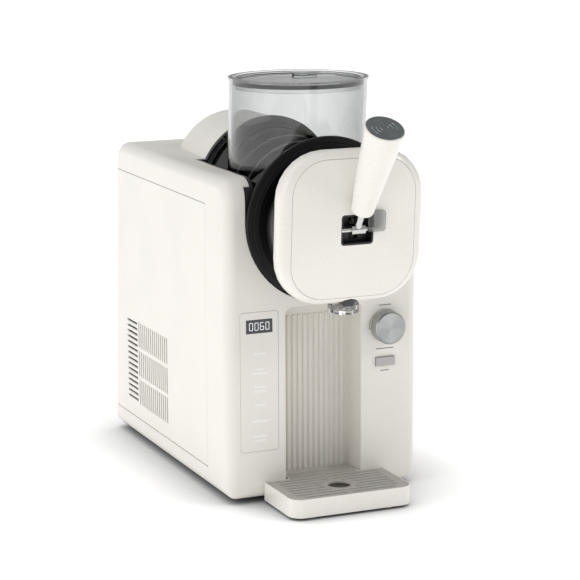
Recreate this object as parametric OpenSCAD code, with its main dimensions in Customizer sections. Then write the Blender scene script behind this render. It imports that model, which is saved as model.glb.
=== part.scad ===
// Countertop soft-serve ice cream maker.
// Machine frame: X to the right, Y to the back with the front face at Y = 0, Z up from the table.
// Everything that belongs to the barrel is drawn about the barrel axis, which dips to the front.

/* [Body] */
// Width across the side panels
body_w = 205; // [190:1:250]
// Depth at the foot, front face to back
body_d = 341; // [330:1:420]
// Height of the flat top above the table
body_top = 322; // [316:1:380]
// Height of the underside above the table
foot_h = 6; // [5:0.5:14]
// Wall of the moulded housing
wall = 2.8; // [2:0.1:4]
// Lean of the back wall towards the front, degrees
back_lean = 3.7; // [0:0.1:6]
// Roundness of the edges of both sides
side_r = 11; // [8:1:14]
// Radius of the top edges at the front and back
edge_r = 21; // [16:1:26]
// Radius of the bottom edges
base_r = 6; // [2:0.5:8]
// Front edge of the side panels
panel_front = 53; // [40:1:70]
// Lower edge of the side and rear panels
panel_low = 27; // [20:1:40]
// Distance from the flat top down to the panels
panel_drop = 29; // [26:1:40]
// Seam between neighbouring panels
seam = 0.8; // [0.3:0.1:1]

/* [Barrel axis] */
// Height of the axis above the table at the front face
axis_z = 279; // [276:1:300]
// Dip of the axis towards the front, degrees
tilt = 4.3; // [0:0.1:6]

/* [Vessel] */
// Outer radius of the barrel
barrel_r = 69; // [60:1:70]
// Wall of the clear vessel
vessel_wall = 3; // [2:0.5:4]
// How far the barrel reaches in front of the body
barrel_front = 23; // [18:1:30]
// Where the barrel ends at the back
barrel_back = 140; // [138:1:150]
// Half-width of the oval hopper
hopper_a = 68.5; // [60:0.5:70]
// Half-length of the oval hopper
hopper_b = 66; // [60:1:68]
// Centre of the hopper behind the face, along the axis
hopper_y = 69.5; // [68:0.5:72]
// Height of the hopper rim above the axis
hopper_h = 127.5; // [115:0.5:150]
// Outer radius of the front gasket
gasket_r = 81.5; // [76:0.5:82]
// Thickness of the front gasket
gasket_t = 4; // [3:0.5:8]

/* [Lid] */
// Depth of the lid below the hopper rim
lid_drop = 3; // [2.5:0.5:10]
// Thickness of the lid plate
lid_t = 2.5; // [2:0.5:4]
// Gap between lid and hopper wall
lid_gap = 0.6; // [0.4:0.1:1]

/* [Cradle] */
// Half-width of the channel cut in the body
channel_r = 75.5; // [75:0.5:80]
// Half-width of the mouth in the front face
mouth_r = 82; // [82:0.5:86]
// Wall of the cradle liner
liner_wall = 3.5; // [2.5:0.5:4]

/* [Drive] */
// Outer radius of the freezing drum
drum_r = 50; // [42:1:52]
// Outer radius of the auger ribbon
auger_r = 64.5; // [60:0.5:65]
// Inner radius of the auger ribbon
auger_in = 51.5; // [51.5:0.5:54]
// Turns of the auger ribbon
auger_turns = 4; // [3:0.5:5]
// Radius of the drive shaft
shaft_r = 6; // [4:0.5:8]
// Gear module
gear_m = 0.8; // [0.8:0.1:1]
// Running clearance between shafts and bores
run_fit = 0.05; // [0.02:0.01:0.09]

/* [Rear hump] */
// Front radius of the motor hump
hump_r = 72; // [66:1:74]
// Rear radius of the motor hump
hump_back_r = 63; // [60:1:72]
// Length of the hump behind the bulkhead
hump_len = 98; // [78:1:104]

/* [Front cover] */
// Half-width of the cover
cover_w = 74.2; // [72:0.2:80]
// Half-height of the cover
cover_h = 74; // [70:1:78]
// Height of the cover's centre above the barrel axis
cover_rise = 6; // [2:0.5:8]
// Corner radius of the cover
cover_r = 46; // [30:1:52]
// Where the cover starts in front of the body
cover_back = 44; // [38:1:46]
// Roundness of the rim
rim_r = 10; // [8:0.5:13]
// How far the face bulges beyond the rim
face_bulge = 10; // [4:0.5:12]
// Wall of the cover
cover_wall = 2.5; // [2:0.1:3]

/* [Dispensing lever] */
// Width of the window in the face
window_w = 33; // [28:1:40]
// Height of the window
window_h = 29; // [26:1:34]
// Distance of the pivot pin in front of the body
pivot_y = 77; // [75:0.5:79]
// Height of the pivot pin above the barrel axis
pivot_z = 7; // [4:0.5:10]
// Radius of the pivot pin
pin_r = 2.2; // [1.5:0.1:3]
// Lean of the lever from the cover's upright, degrees
lever_lean = 25.7; // [10:0.1:32]
// Distance of the grip above the pivot
grip_start = 21; // [18:1:26]
// Length of the grip
grip_len = 97; // [80:1:120]
// Radius of the grip at its foot
grip_r0 = 11; // [8:0.1:12]
// Radius of the grip at its cap
grip_r1 = 19.2; // [14:0.1:22]

/* [Valve] */
// Distance of the valve bore in front of the body
valve_y = 51.5; // [50:0.5:53]
// Radius of the valve piston
piston_r = 9; // [7:0.5:10]
// Outer radius of the nozzle ring
nozzle_r = 15; // [13:0.5:18]
// Height of the nozzle ring
nozzle_h = 8; // [7:0.5:12]

/* [Splash recess] */
// Half-width of the recess at the front face
recess_w = 41; // [36:1:46]
// Half-width of the recess at its back
recess_in = 35; // [30:1:36]
// Depth of the recess
recess_d = 19.5; // [14:0.5:24]
// Height of the recess top above the table
recess_top = 194; // [180:1:196]
// Pitch of the ribs
rib_pitch = 5.85; // [5:0.05:7]
// Number of ribs
rib_count = 11; // [5:2:11]

/* [Controls] */
// Left edge of the display panel
bezel_x = -88.5; // [-90:0.5:-86]
// Width of the display panel
bezel_w = 40.5; // [36:0.5:44]
// Lower edge of the display panel
bezel_z = 52.7; // [40:0.1:60]
// Height of the display panel
bezel_h = 139.7; // [120:0.1:145]
// Distance of knob and button to the right of the centre
control_x = 66.4; // [62:0.2:74]
// Height of the knob above the table
knob_z = 166.4; // [150:0.2:175]
// Radius of the knob
knob_r = 14.8; // [10:0.1:18]
// Length of the knob in front of the face
knob_len = 12.5; // [8:0.5:16]
// Height of the mode button above the table
button_z = 130.6; // [115:0.2:140]
// Width of the mode button
button_w = 20; // [14:0.5:26]
// Height of the mode button
button_h = 8.6; // [6:0.2:12]
// How far the mode button stands out
button_out = 3; // [2:0.5:4]

/* [Drip tray] */
// Half-width of the tray
tray_w = 64.3; // [56:0.1:76]
// How far the tray reaches in front of the body
tray_front = 72; // [60:1:90]
// Height of the tray's top above the table
tray_top = 21.3; // [18:0.1:26]
// Height of the tray's underside above the table
tray_low = 3; // [2:0.5:4]
// Corner radius of the tray
tray_r = 13; // [6:1:18]
// Wall of the tray
tray_wall = 2.4; // [2:0.1:3]
// Thickness of the grille
grille_t = 2.4; // [2:0.1:3]
// Distance of the drain hole in front of the body
drain_y = 37; // [30:1:45]
// Radius of the drain hole
drain_r = 11.3; // [8:0.1:14]
// Rows of slots in the grille
slot_rows = 9; // [5:1:9]

/* [Cooling] */
// Radius of the compressor can
comp_r = 48; // [40:1:50]
// Height of the compressor can
comp_h = 118; // [100:1:130]
// Size of the square fan frame
fan_size = 120; // [92:1:120]
// Height of the fan centre above the table
fan_z = 112; // [100:1:130]
// Position of the fan behind the front face
fan_y = 290; // [288:1:292]
// Number of fan blades
blades = 7; // [5:1:9]

/* [Vents] */
// Columns of fine slots in each side panel
vent_cols = 15; // [8:1:20]
// Distance between the columns
vent_pitch = 6.1; // [5:0.1:7]
// Height of one row of fine slots
vent_h = 27.5; // [20:0.5:28]
// Number of level slots behind them
louvre_count = 15; // [8:1:16]

/* [Hidden] */

$fn = 64;
eps = 0.01;
free_gap = 0.4;                 // between pieces of different bodies
cream = "#EFEBE2";
cream_shade = "#DAD6CE";
black = "#141414";
smoke = [0.32, 0.33, 0.34, 0.55];
clear = [0.86, 0.88, 0.89, 0.35];
grey = "#B9B6B0";

panel_high = body_top - panel_drop;
panel_in = body_w/2 - side_r;         // where the side panels end on the back

barrel_in = barrel_r - vessel_wall;
ring_back = barrel_back + 7;            // rear gasket ends here, the bulkhead starts
bulk_t = 4;
bulk_back = ring_back + bulk_t;
hump_end = bulk_back + hump_len;
liner_out = channel_r - free_gap;
liner_in = liner_out - liner_wall;
liner_front = 8;

drum_front = 4;
drum_wall = 2;
hub_front = -14;                        // front of the auger hub
gear_front = bulk_back + 6;
gear_t = 5;
idler_front = gear_front + gear_t + 1.5;
gearbox_r = 57;
gearbox_len = 22;
motor_front = bulk_back + gearbox_len;
pinion_teeth = 12;
idler_teeth = 48;
idler_small = 14;
output_teeth = 56;
mesh_gap = 0.12;
idler_dist = gear_m*(idler_small + output_teeth)/2 + mesh_gap;
pinion_dist = gear_m*(pinion_teeth + idler_teeth)/2 + mesh_gap;
pinion_angle = 250;
motor_x = pinion_dist*cos(pinion_angle);
motor_z = idler_dist + pinion_dist*sin(pinion_angle);
motor_r = 33;
motor_len = 46;

rim_flat = 5;
seam_inset = rim_r + 0.5;
face_front = cover_back + 2*rim_r + rim_flat + face_bulge;

piston_low = -70;
piston_high = 14;
valve_out = piston_r + 5;
nozzle_top = -71;
port_z = -58;

lever_top = grip_start + grip_len;
lever_tilt = lever_lean + tilt;
front_reach = pivot_y*cos(tilt) + pivot_z*sin(tilt) + lever_top*sin(lever_tilt)
    + (grip_r1 - 0.5)*cos(lever_tilt);
back_reach = body_d - tan(back_lean)*base_r;
mid_y = (back_reach - front_reach)/2;   // half-way between the lever cap and the back

// ---- outlines -------------------------------------------------------------

function unit(v) = v/norm(v);

// Arc that rounds the corner b between a and c
function fillet_arc(a, b, c, r, n) =
    let (u = unit(a - b), v = unit(c - b), half = acos(u*v)/2, d = r/tan(half),
        m = b + unit(u + v)*r/sin(half), p = b + u*d, q = b + v*d,
        a0 = atan2(p.y - m.y, p.x - m.x), a1 = atan2(q.y - m.y, q.x - m.x),
        sweep = (a1 - a0 + 540) % 360 - 180)
    [for (i = [0:n]) m + r*[cos(a0 + sweep*i/n), sin(a0 + sweep*i/n)]];

// Closed outline with a radius at every corner
function rounded(pts, radii, n = 8) =
    [for (i = [0:len(pts) - 1])
        each radii[i] <= 0 ? [pts[i]]
            : fillet_arc(pts[(i + len(pts) - 1) % len(pts)], pts[i], pts[(i + 1) % len(pts)],
                radii[i], n)];

// Rectangle about the origin with equal corner radii
function round_rect(w, h, r, n = 8) =
    rounded([[-w, -h], [w, -h], [w, h], [-w, h]], [r, r, r, r], n);

function oval(a, b, n = 72) = [for (i = [0:n - 1]) [a*cos(360*i/n), b*sin(360*i/n)]];

// U with a half-round foot, open at the top
function u_outline(r, top, n = 32) =
    concat([[r, top]], [[-r, top]], [for (i = [0:n]) r*[cos(180 + 180*i/n), sin(180 + 180*i/n)]]);

// ---- frames ---------------------------------------------------------------

// The part's own frame has its origin under the middle of the machine
module place() translate([0, -mid_y, 0]) children();

// Barrel frame: Y along the barrel axis to the back, Z square to it
module on_axis() place() translate([0, 0, axis_z]) rotate([tilt, 0, 0]) children();

// Turns a shape drawn in XY with its height along Z to lie along the barrel, from y0 to y1
module along(y0, y1) translate([0, y1, 0]) rotate([90, 0, 0]) linear_extrude(y1 - y0) children();

module rod_y(r, y0, y1, x = 0, z = 0) translate([x, y1, z]) rotate([90, 0, 0])
    cylinder(r = r, h = y1 - y0);

module rod_x(r, x0, x1, y = 0, z = 0) translate([x0, y, z]) rotate([0, 90, 0])
    cylinder(r = r, h = x1 - x0);

module tube_y(r1, r0, y0, y1) difference() {
    rod_y(r1, y0, y1);
    rod_y(r0, y0 - 1, y1 + 1);
}

module box(x0, x1, y0, y1, z0, z1) translate([x0, y0, z0]) cube([x1 - x0, y1 - y0, z1 - z0]);

// ---- body -----------------------------------------------------------------

// Closed skin over rings that all have the same number of points
module skin(rings) {
    n = len(rings[0]);
    last = len(rings) - 1;
    polyhedron([for (r = rings) each r], concat([[for (k = [0:n - 1]) k]],
        [[for (k = [n - 1:-1:0]) last*n + k]],
        [for (i = [0:last - 1]) for (k = [0:n - 1]) let (j = (k + 1) % n)
            [i*n + j, i*n + k, i*n + n + k, i*n + n + j]]));
}

// Upright ring round the body at x, pulled in by an inset
function body_ring(x, inset, n) =
    let (low = foot_h + inset, high = body_top - inset, back = body_d - inset,
        lean = tan(back_lean)*(high - foot_h), r1 = max(1, base_r - inset), r2 = edge_r - inset)
    [for (p = rounded([[inset, low], [back, low], [back - lean, high], [inset, high]],
        [r1, r1, r2, r2], n)) [x, p.x, p.y]];

// Outer form of the body, shrunk by g on every side
module body_form(g = 0, n = 8) {
    w = body_w/2 - g;
    r = side_r - g;
    skin(concat([for (a = [90:-90/n:0]) body_ring(-w + r*(1 - sin(a)), g + r*(1 - cos(a)), n)],
        [for (a = [0:90/n:90]) body_ring(w - r*(1 - sin(a)), g + r*(1 - cos(a)), n)]));
}

module side_region(gap = 0) box(panel_in + gap, body_w, panel_front + gap, body_d + 10,
    panel_low + gap, panel_high - gap);

module rear_region(gap = 0) box(-panel_in + gap, panel_in - gap, body_d - 60, body_d + 10,
    panel_low + gap, panel_high - gap);

module bezel_plate(gap, y0, y1) translate([0, y1, 0]) rotate([90, 0, 0]) linear_extrude(y1 - y0)
    translate([bezel_x + bezel_w/2, bezel_z + bezel_h/2])
    polygon(round_rect(bezel_w/2 - gap, bezel_h/2 - gap, 3 - gap, 4));

module recess_front(gap, y0, y1) translate([0, y1, 0]) rotate([90, 0, 0]) linear_extrude(y1 - y0)
    polygon(rounded([[-recess_w - gap, 0], [recess_w + gap, 0], [recess_w + gap, recess_top + gap],
        [-recess_w - gap, recess_top + gap]], [0, 0, 8, 8], 6));

module hump_form(grow = 0) translate([0, hump_end + grow, 0]) rotate([90, 0, 0]) rotate_extrude()
    polygon(concat([[0, 0]],
        [for (i = [0:6]) [hump_back_r + grow - 9 + 9*sin(15*i), 9 - 9*cos(15*i)]],
        [[hump_r + grow, hump_len + grow], [0, hump_len + grow]]));

// Opening in the underside, and the plate that fills it
module base_outline(gap, z0, z1) {
    w = body_w/2 - wall - 3 - gap;
    front = wall + 3 + gap;
    back = body_d - wall - 4 - gap;
    r = side_r - wall - 3;
    translate([0, 0, z0]) linear_extrude(z1 - z0)
        polygon(rounded([[-w, front], [w, front], [w, back], [-w, back]], [r, r, r, r], 6));
}

module main_housing() color(cream) difference() {
    place() difference() {
        body_form();
        body_form(wall, 4);
        base_outline(0, 0, foot_h + wall + 1);
        side_region();
        mirror([1, 0, 0]) side_region();
        rear_region();
        bezel_plate(0, -1, wall + 1);
        recess_front(0, -1, wall + 4);
        rod_y(5, -1, wall + 1, control_x, knob_z);
        box(control_x - button_w/2 - free_gap, control_x + button_w/2 + free_gap, -1, wall + 1,
            button_z - button_h/2 - free_gap, button_z + button_h/2 + free_gap);
    }
    on_axis() {
        along(-60, liner_front) polygon(u_outline(mouth_r, 120));
        along(liner_front - eps, bulk_back) polygon(u_outline(channel_r, 120));
        translate([0, eps, 0]) hump_form(0.3);
    }
}

vent_y0 = 167;
module side_vents() {
    for (row = [0:2], c = [0:vent_cols - 1])
        translate([body_w/2 - 8, vent_y0 + c*vent_pitch, 44 + row*(vent_h + 4)])
            cube([20, 3, vent_h]);
    for (i = [0:louvre_count - 1])
        translate([body_w/2 - 8, vent_y0 + vent_cols*vent_pitch + 1, 46 + i*6])
            cube([20, 32, 2.6]);
}

// Snap tabs that reach behind the edge of the housing
module side_tabs() {
    for (y = [90:80:250]) {
        box(body_w/2 - wall - 2, body_w/2 - wall, y, y + 12, panel_high - 8, panel_high + 5);
        box(body_w/2 - wall - 2, body_w/2 - wall, y, y + 12, panel_low - 5, panel_low + 8);
    }
    for (z = [60:90:240])
        box(body_w/2 - wall - 2, body_w/2 - wall, panel_front - 5, panel_front + 8, z, z + 12);
}

module side_panel() union() {
    difference() {
        intersection() {
            body_form();
            side_region(seam);
        }
        body_form(wall, 4);
        side_vents();
    }
    side_tabs();
}

module side_panel_right() color(cream) place() side_panel();

module side_panel_left() color(cream) place() mirror([1, 0, 0]) side_panel();

inlet_x = 45;
inlet_z = 52;
module rear_panel() color(cream) place() difference() {
    intersection() {
        body_form();
        rear_region(seam);
    }
    body_form(wall, 4);
    for (i = [0:9])
        box(-50, 50, body_d - 60, body_d + 10, fan_z - 46 + i*10, fan_z - 41 + i*10);
    box(inlet_x - 14, inlet_x + 14, body_d - 60, body_d + 10, inlet_z - 10.5, inlet_z + 10.5);
}

foot_x = body_w/2 - 30.5;
foot_front = 34;
foot_back = body_d - 43;
feet = [[-foot_x, foot_front], [foot_x, foot_front], [-foot_x, foot_back], [foot_x, foot_back]];
screw_in = 16;                          // from foot to screw
plate_t = 3;
plate_top = foot_h + plate_t;
peg_r = 3;

module base_plate() color("#3A3A3A") place() difference() {
    base_outline(free_gap, foot_h, plate_top);
    box(-recess_w - 3, recess_w + 3, -1, recess_d + 5, foot_h - 1, plate_top + 1);
    for (i = [0:7])
        box(-60, 60, 60 + i*12, 65 + i*12, foot_h - 1, plate_top + 1);
    for (p = feet) {
        translate([p.x, p.y, foot_h - 1]) cylinder(r = peg_r, h = plate_t + 2);
        translate([p.x - sign(p.x)*screw_in, p.y, foot_h - 1]) cylinder(r = 1.6, h = plate_t + 2);
    }
}

module rubber_feet() color(black) place() for (p = feet) translate(p) {
    cylinder(r1 = 9, r2 = 10, h = foot_h);
    translate([0, 0, foot_h - eps]) cylinder(r = peg_r, h = plate_t + 1);
}

module panel_screws() color("silver") place() for (p = feet)
    translate([p.x - sign(p.x)*screw_in, p.y, foot_h - 2]) difference() {
        union() {
            cylinder(r = 3.5, h = 2);
            cylinder(r = 1.6, h = 14);
        }
        translate([-2.5, -0.4, -1]) cube([5, 0.8, 1.6]);
    }

// ---- cradle and bulkhead --------------------------------------------------

// Black channel under the barrel, with a flange that fills the mouth of the front face
flange_back = liner_front - 0.3;
module cradle_liner() color(black) intersection() {
    on_axis() difference() {
        union() {
            along(flange_back - eps, ring_back) polygon(u_outline(liner_out, 60));
            along(-7, flange_back) polygon(u_outline(mouth_r - 0.3, 60));
        }
        along(-8, ring_back + 1) polygon(u_outline(liner_in, 80));
        rod_y(gasket_r + free_gap, -30, 0.5);
    }
    place() body_form(0.5);
}

module bulkhead() color(black) difference() {
    on_axis() difference() {
        union() {
            along(ring_back, bulk_back) polygon(u_outline(liner_out, 40));
            rod_y(hump_r - 1, ring_back, bulk_back);
        }
        rod_y(shaft_r + 5, ring_back - 1, bulk_back + 1);
    }
    place() difference() {
        box(-120, 120, 100, 200, body_top - 0.5, 460);
        translate([0, 0, axis_z]) rotate([tilt, 0, 0]) rod_y(hump_r - 1, 80, 220);
    }
}

module hump_cover() color(cream) difference() {
    on_axis() difference() {
        hump_form();
        hump_form(-wall);
        rod_y(hump_r - wall, bulk_back - 1, bulk_back + wall + 1);
    }
    place() box(-120, 120, 100, 330, 0, body_top - 16);
}

module rear_gasket() color(black) on_axis() union() {
    tube_y(liner_in - 0.3, barrel_r + free_gap, hopper_y + hopper_b + 0.5, ring_back);
    difference() {
        tube_y(hump_r + 2.8, barrel_r + free_gap + 1, barrel_back + 1, ring_back - 1);
        rotate([-tilt, 0, 0]) box(-120, 120, 100, 200, -200, body_top - axis_z - 0.4);
    }
}

splash_low = foot_h + base_r + 0.5;
module splash_back() color(cream_shade) place() difference() {
    union() {
        translate([0, 0, splash_low]) linear_extrude(recess_top + 1.5 - splash_low)
            polygon([[-recess_w, wall], [-recess_in - 2, recess_d + 2], [recess_in + 2, recess_d + 2],
                [recess_w, wall], [recess_w + 5, wall], [recess_w + 5, wall + 1.5],
                [recess_w + 2, wall + 1.5], [recess_in + 3, recess_d + 4],
                [-recess_in - 3, recess_d + 4], [-recess_w - 2, wall + 1.5],
                [-recess_w - 5, wall + 1.5], [-recess_w - 5, wall]]);
        translate([0, 0, recess_top]) linear_extrude(1.5)
            polygon([[-recess_w, wall], [recess_w, wall], [recess_in + 3, recess_d + 4],
                [-recess_in - 3, recess_d + 4]]);
        for (i = [0:rib_count - 1])
            translate([(i - (rib_count - 1)/2)*rib_pitch, recess_d + 2.3, tray_top + 3])
                cylinder(r = 1.9, h = recess_top - tray_top - 16);
    }
    box(-recess_in - 1, recess_in + 1, recess_d + 4, recess_d + 8, 0, 300);
}

// ---- controls -------------------------------------------------------------

window_x = bezel_x + 6.5;
lens_w = 27.8;
lens_h = 13.7;
lens_z = bezel_z + bezel_h - 21.3;

bezel_t = wall + 0.5;
module lens_cut(gap, y0, y1) box(window_x - gap, window_x + lens_w + gap, y0, y1,
    lens_z - gap, lens_z + lens_h + gap);

module control_bezel() color(cream) place() difference() {
    union() {
        bezel_plate(0.3, 0, bezel_t);
        for (x = [bezel_x + 4, bezel_x + bezel_w - 8])
            box(x, x + 4, wall + 0.05, wall + 2, bezel_z - 4, bezel_z + 10);
    }
    lens_cut(0, -1, bezel_t + 1);
}

module display_window() color("#24272A") place() union() {
    lens_cut(-0.15, 0.2, bezel_t + 0.5);
    lens_cut(2, bezel_t, bezel_t + 1);
}

module display_board() color("#1F5A36") place() {
    board = bezel_t + 3;
    box(window_x - 2.5, window_x + lens_w + 2.5, board, board + 1.6, lens_z - 90,
        lens_z + lens_h + 2.5);
    box(window_x, window_x + lens_w, bezel_t + 1, board, lens_z + 1, lens_z + lens_h - 1);
    box(window_x + 4, window_x + 16, board + 1.6, board + 5, lens_z - 40, lens_z - 28);
}

encoder_len = 9;
module encoder_body() color("#777777") place() difference() {
    union() {
        box(control_x - 7, control_x + 7, wall + 1, wall + 8, knob_z - 7, knob_z + 7);
        rod_y(4.6, wall - 1.5, wall + 1, control_x, knob_z);
        box(control_x - 10, control_x + 10, wall + 8, wall + 9.6, knob_z - 20, knob_z + 12);
    }
    rod_y(3 + run_fit, -2, wall + 6, control_x, knob_z);
}

module encoder_shaft() color("#C8C8C8") place() rod_y(3, -encoder_len, wall + 5.5, control_x,
    knob_z);

knob_gap = 2.2;                         // room for the knob's press
knob_flare = 1.4;                       // the knob widens towards the machine
module control_knob() color("#B9BCBC") place() difference() {
    translate([control_x, -knob_gap, knob_z]) rotate([90, 0, 0]) rotate_extrude()
        polygon([[0, 0], [knob_r + knob_flare, 0], [knob_r, knob_len - 1.2],
            [knob_r - 0.8, knob_len - 0.3], [knob_r - 1.6, knob_len], [0, knob_len]]);
    rod_y(3 + run_fit, -encoder_len - knob_gap - 1, 1, control_x, knob_z);
}

module mode_button() color("#BDB9B8") place() union() {
    box(control_x - button_w/2, control_x + button_w/2, -button_out, wall + 1,
        button_z - button_h/2, button_z + button_h/2);
    box(control_x - button_w/2 - 1.5, control_x + button_w/2 + 1.5, wall + 0.4, wall + 2,
        button_z - button_h/2 - 1.5, button_z + button_h/2 + 1.5);
    rod_y(1.5, wall + 2, wall + 4.5, control_x, button_z);
}

switch_y = wall + 7;
module mode_switch() color("#333333") place() union() {
    box(control_x - 6, control_x + 6, switch_y, switch_y + 4, button_z - 6, button_z + 6);
    box(control_x - 11, control_x + 11, switch_y + 4, switch_y + 5.6, button_z - 12, button_z + 12);
}

// Wire of radius wire_r wound along Y, its rings a twelfth of a turn apart
spring_r = 3.2;
spring_wire = 0.35;
spring_turns = 4;
function coil_ring(a, rise) =
    [for (b = [0:45:315]) let (r = spring_r + spring_wire*cos(b))
        [r*cos(a), rise*a/360 + spring_wire*sin(b), r*sin(a)]];

module button_spring() color("silver") place()
    translate([control_x, wall + 2 + spring_wire, button_z])
    skin([for (i = [0:12*spring_turns])
        coil_ring(30*i, (switch_y - wall - 2 - 2*spring_wire)/spring_turns)]);

board_x = body_w/2 - wall - 15.7;
module main_board() color("#1F5A36") place() {
    box(board_x, board_x + 1.6, 90, 210, 60, 190);
    box(board_x - 14, board_x, 100, 130, 140, 170);
    box(board_x - 8, board_x, 150, 172, 90, 120);
    for (i = [0:2])
        rod_x(7, board_x - 18, board_x, 190, 80 + i*22);
}

// A mains inlet of the usual three-pin shape
inlet_front = body_d - wall - 27;
module power_inlet() color(black) place() {
    difference() {
        box(inlet_x - 13.6, inlet_x + 13.6, inlet_front, body_d - wall - 2.6, inlet_z - 10,
            inlet_z + 10);
        box(inlet_x - 11, inlet_x + 11, inlet_front + 5, body_d, inlet_z - 7.5, inlet_z + 7.5);
    }
    for (p = [[-7, 2], [0, -2], [7, 2]])
        box(inlet_x + p.x - 1, inlet_x + p.x + 1, inlet_front + 4, inlet_front + 17,
            inlet_z + p.y - 2, inlet_z + p.y + 2);
}

// ---- cooling --------------------------------------------------------------

comp_x = -25;
comp_y = 130;
comp_z = plate_top + 10;
module compressor() color(black) place() translate([comp_x, comp_y, comp_z]) union() {
    rotate_extrude() polygon([[0, 0], [comp_r - 8, 0], [comp_r, 8], [comp_r, comp_h - 26],
        [comp_r - 4, comp_h - 12], [comp_r - 16, comp_h - 3], [0, comp_h]]);
    for (a = [45:90:315])
        rotate(a) translate([comp_r - 12, -8, -0.5]) cube([24, 16, 3]);
}

module compressor_mounts() color("#222222") place() translate([comp_x, comp_y, plate_top])
    for (a = [45:90:315])
        rotate(a) translate([comp_r + 5, 0, 0]) cylinder(r = 7, h = 9.5);

coil_w = 132;
coil_low = plate_top + 30;
module condenser_coil() color("#A8ABAD") place() union() {
    for (i = [0:21])
        box(-coil_w/2 + i*6.2, -coil_w/2 + i*6.2 + 0.6, 244, 266, coil_low, coil_low + 130);
    for (r = [0:5])
        rod_x(3.5, -coil_w/2 - 4, coil_w/2 + 4, 255, coil_low + 12 + r*21);
    box(-coil_w/2 - 2, -coil_w/2, 240, 270, plate_top, coil_low + 132);
    box(coil_w/2, coil_w/2 + 2, 240, 270, plate_top, coil_low + 132);
}

fan_hub = 19;
fan_tip = fan_size/2 - 6;
module fan_shroud() color("#2A2A2A") place() translate([0, fan_y, fan_z]) difference() {
    union() {
        difference() {
            box(-fan_size/2, fan_size/2, -12, 12, -fan_size/2, fan_size/2);
            rod_y(fan_tip + 3, -13, 13);
        }
        for (a = [0:90:270])
            rotate([0, a + 45, 0]) box(fan_hub - 3, fan_tip + 5, 9.7, 11.7, -2, 2);
        rod_y(fan_hub, 9.5, 12);
    }
    rod_y(6, 5, 13);
}

module fan_motor() color("#444444") place() translate([0, fan_y, fan_z]) difference() {
    union() {
        rod_y(6, 8, 12);
        rod_y(14, 2, 9.5);
    }
    rod_y(2 + run_fit, -5, 8.5);
}

module fan_blades() color("#333333") place() translate([0, fan_y, fan_z]) union() {
    difference() {
        rod_y(fan_hub - 2, -11, 8.8);
        rod_y(fan_hub - 4, 0, 9.5);
    }
    rod_y(2, -2, 8);
    for (i = [0:blades - 1])
        rotate([0, i*360/blades, 0]) translate([fan_hub - 3, 0, 0]) rotate([32, 0, 0])
            box(0, fan_tip - fan_hub + 2, -10, 10, -0.8, 0.8);
}

module freezing_drum() color("#C9CBCC") on_axis() difference() {
    rod_y(drum_r, drum_front, ring_back);
    rod_y(drum_r - drum_wall, drum_front + 3, ring_back + 1);
    rod_y(shaft_r + 3, drum_front - 1, drum_front + 4);
}

module shaft_seal() color("#B04A2E") on_axis() tube_y(shaft_r + 3, shaft_r + run_fit, drum_front,
    drum_front + 3);

module shaft_bearing() color("#B08D57") on_axis() tube_y(shaft_r + 5, shaft_r + run_fit,
    ring_back, bulk_back);

// A pipe through the points, each bend a brazed joint
module pipe(pts, r) union() {
    for (i = [0:len(pts) - 2]) {
        d = pts[i + 1] - pts[i];
        translate(pts[i]) rotate([0, acos(d.z/norm(d)), atan2(d.y, d.x)])
            cylinder(r = r, h = norm(d), $fn = 24);
    }
    for (i = [1:1:len(pts) - 2]) translate(pts[i]) sphere(r = r + 0.4, $fn = 24);
}

comp_top = comp_z + comp_h;
module refrigerant_lines() color("#B87333") place() {
    pipe([[comp_x + 20, comp_y + 28, comp_top - 22], [comp_x + 20, comp_y + 50, comp_top + 20],
        [20, 215, 200], [20, 215, 262]], 3);
    pipe([[comp_x - 20, comp_y + 28, comp_top - 22], [comp_x - 24, comp_y + 52, comp_top + 8],
        [-72, 200, 120], [-72, 255, coil_low + 12 + 105]], 2.5);
    pipe([[74, 255, coil_low + 12], [78, 225, 40], [60, 222, 50], [60, 222, 62]], 2);
    pipe([[60, 222, 116], [50, 218, 150], [-20, 215, 200], [-20, 215, 262]], 2);
}

module filter_drier() color("#B87333") place() translate([60, 222, 60]) rotate_extrude()
    polygon([[0, 0], [4, 0], [9, 8], [9, 50], [4, 58], [0, 58]]);

// ---- drive ----------------------------------------------------------------

// Spur gear outline: a straight-sided tooth centred on the angle given
function gear_outline(teeth, phase) =
    let (rp = gear_m*teeth/2, ra = rp + 0.9*gear_m, rf = rp - 1.2*gear_m, pitch = 360/teeth,
        root = 0.30*pitch, mid = 0.215*pitch, tip = 0.11*pitch)
    [for (i = [0:teeth - 1]) for (k = [[rf, -root], [rp, -mid], [ra, -tip], [ra, tip],
        [rp, mid], [rf, root]]) k[0]*[cos(phase + i*pitch + k[1]), sin(phase + i*pitch + k[1])]];

module gear(teeth, phase, y0, y1) translate([0, y1, 0]) rotate([90, 0, 0])
    linear_extrude(y1 - y0) polygon(gear_outline(teeth, phase));

idler_phase = 90 + 180 + 180/idler_small;
idler_big_phase = pinion_angle;
pinion_phase = pinion_angle + 180 + 180/pinion_teeth;

module drive_shaft() color("silver") on_axis() rod_y(shaft_r, hub_front + 4, gear_front + gear_t);

module output_gear() color("#E8E4D8") on_axis() difference() {
    gear(output_teeth, 90, gear_front, gear_front + gear_t);
    rod_y(shaft_r, gear_front - 1, gear_front + gear_t + 1);
}

idler_pin_r = 3;
module idler_gear() color("#E8E4D8") on_axis() translate([0, 0, idler_dist]) difference() {
    union() {
        gear(idler_small, idler_phase, gear_front - 0.5, idler_front + eps);
        gear(idler_teeth, idler_big_phase, idler_front, idler_front + gear_t);
    }
    rod_y(idler_pin_r + run_fit, gear_front - 2, idler_front + gear_t + 1);
}

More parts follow.
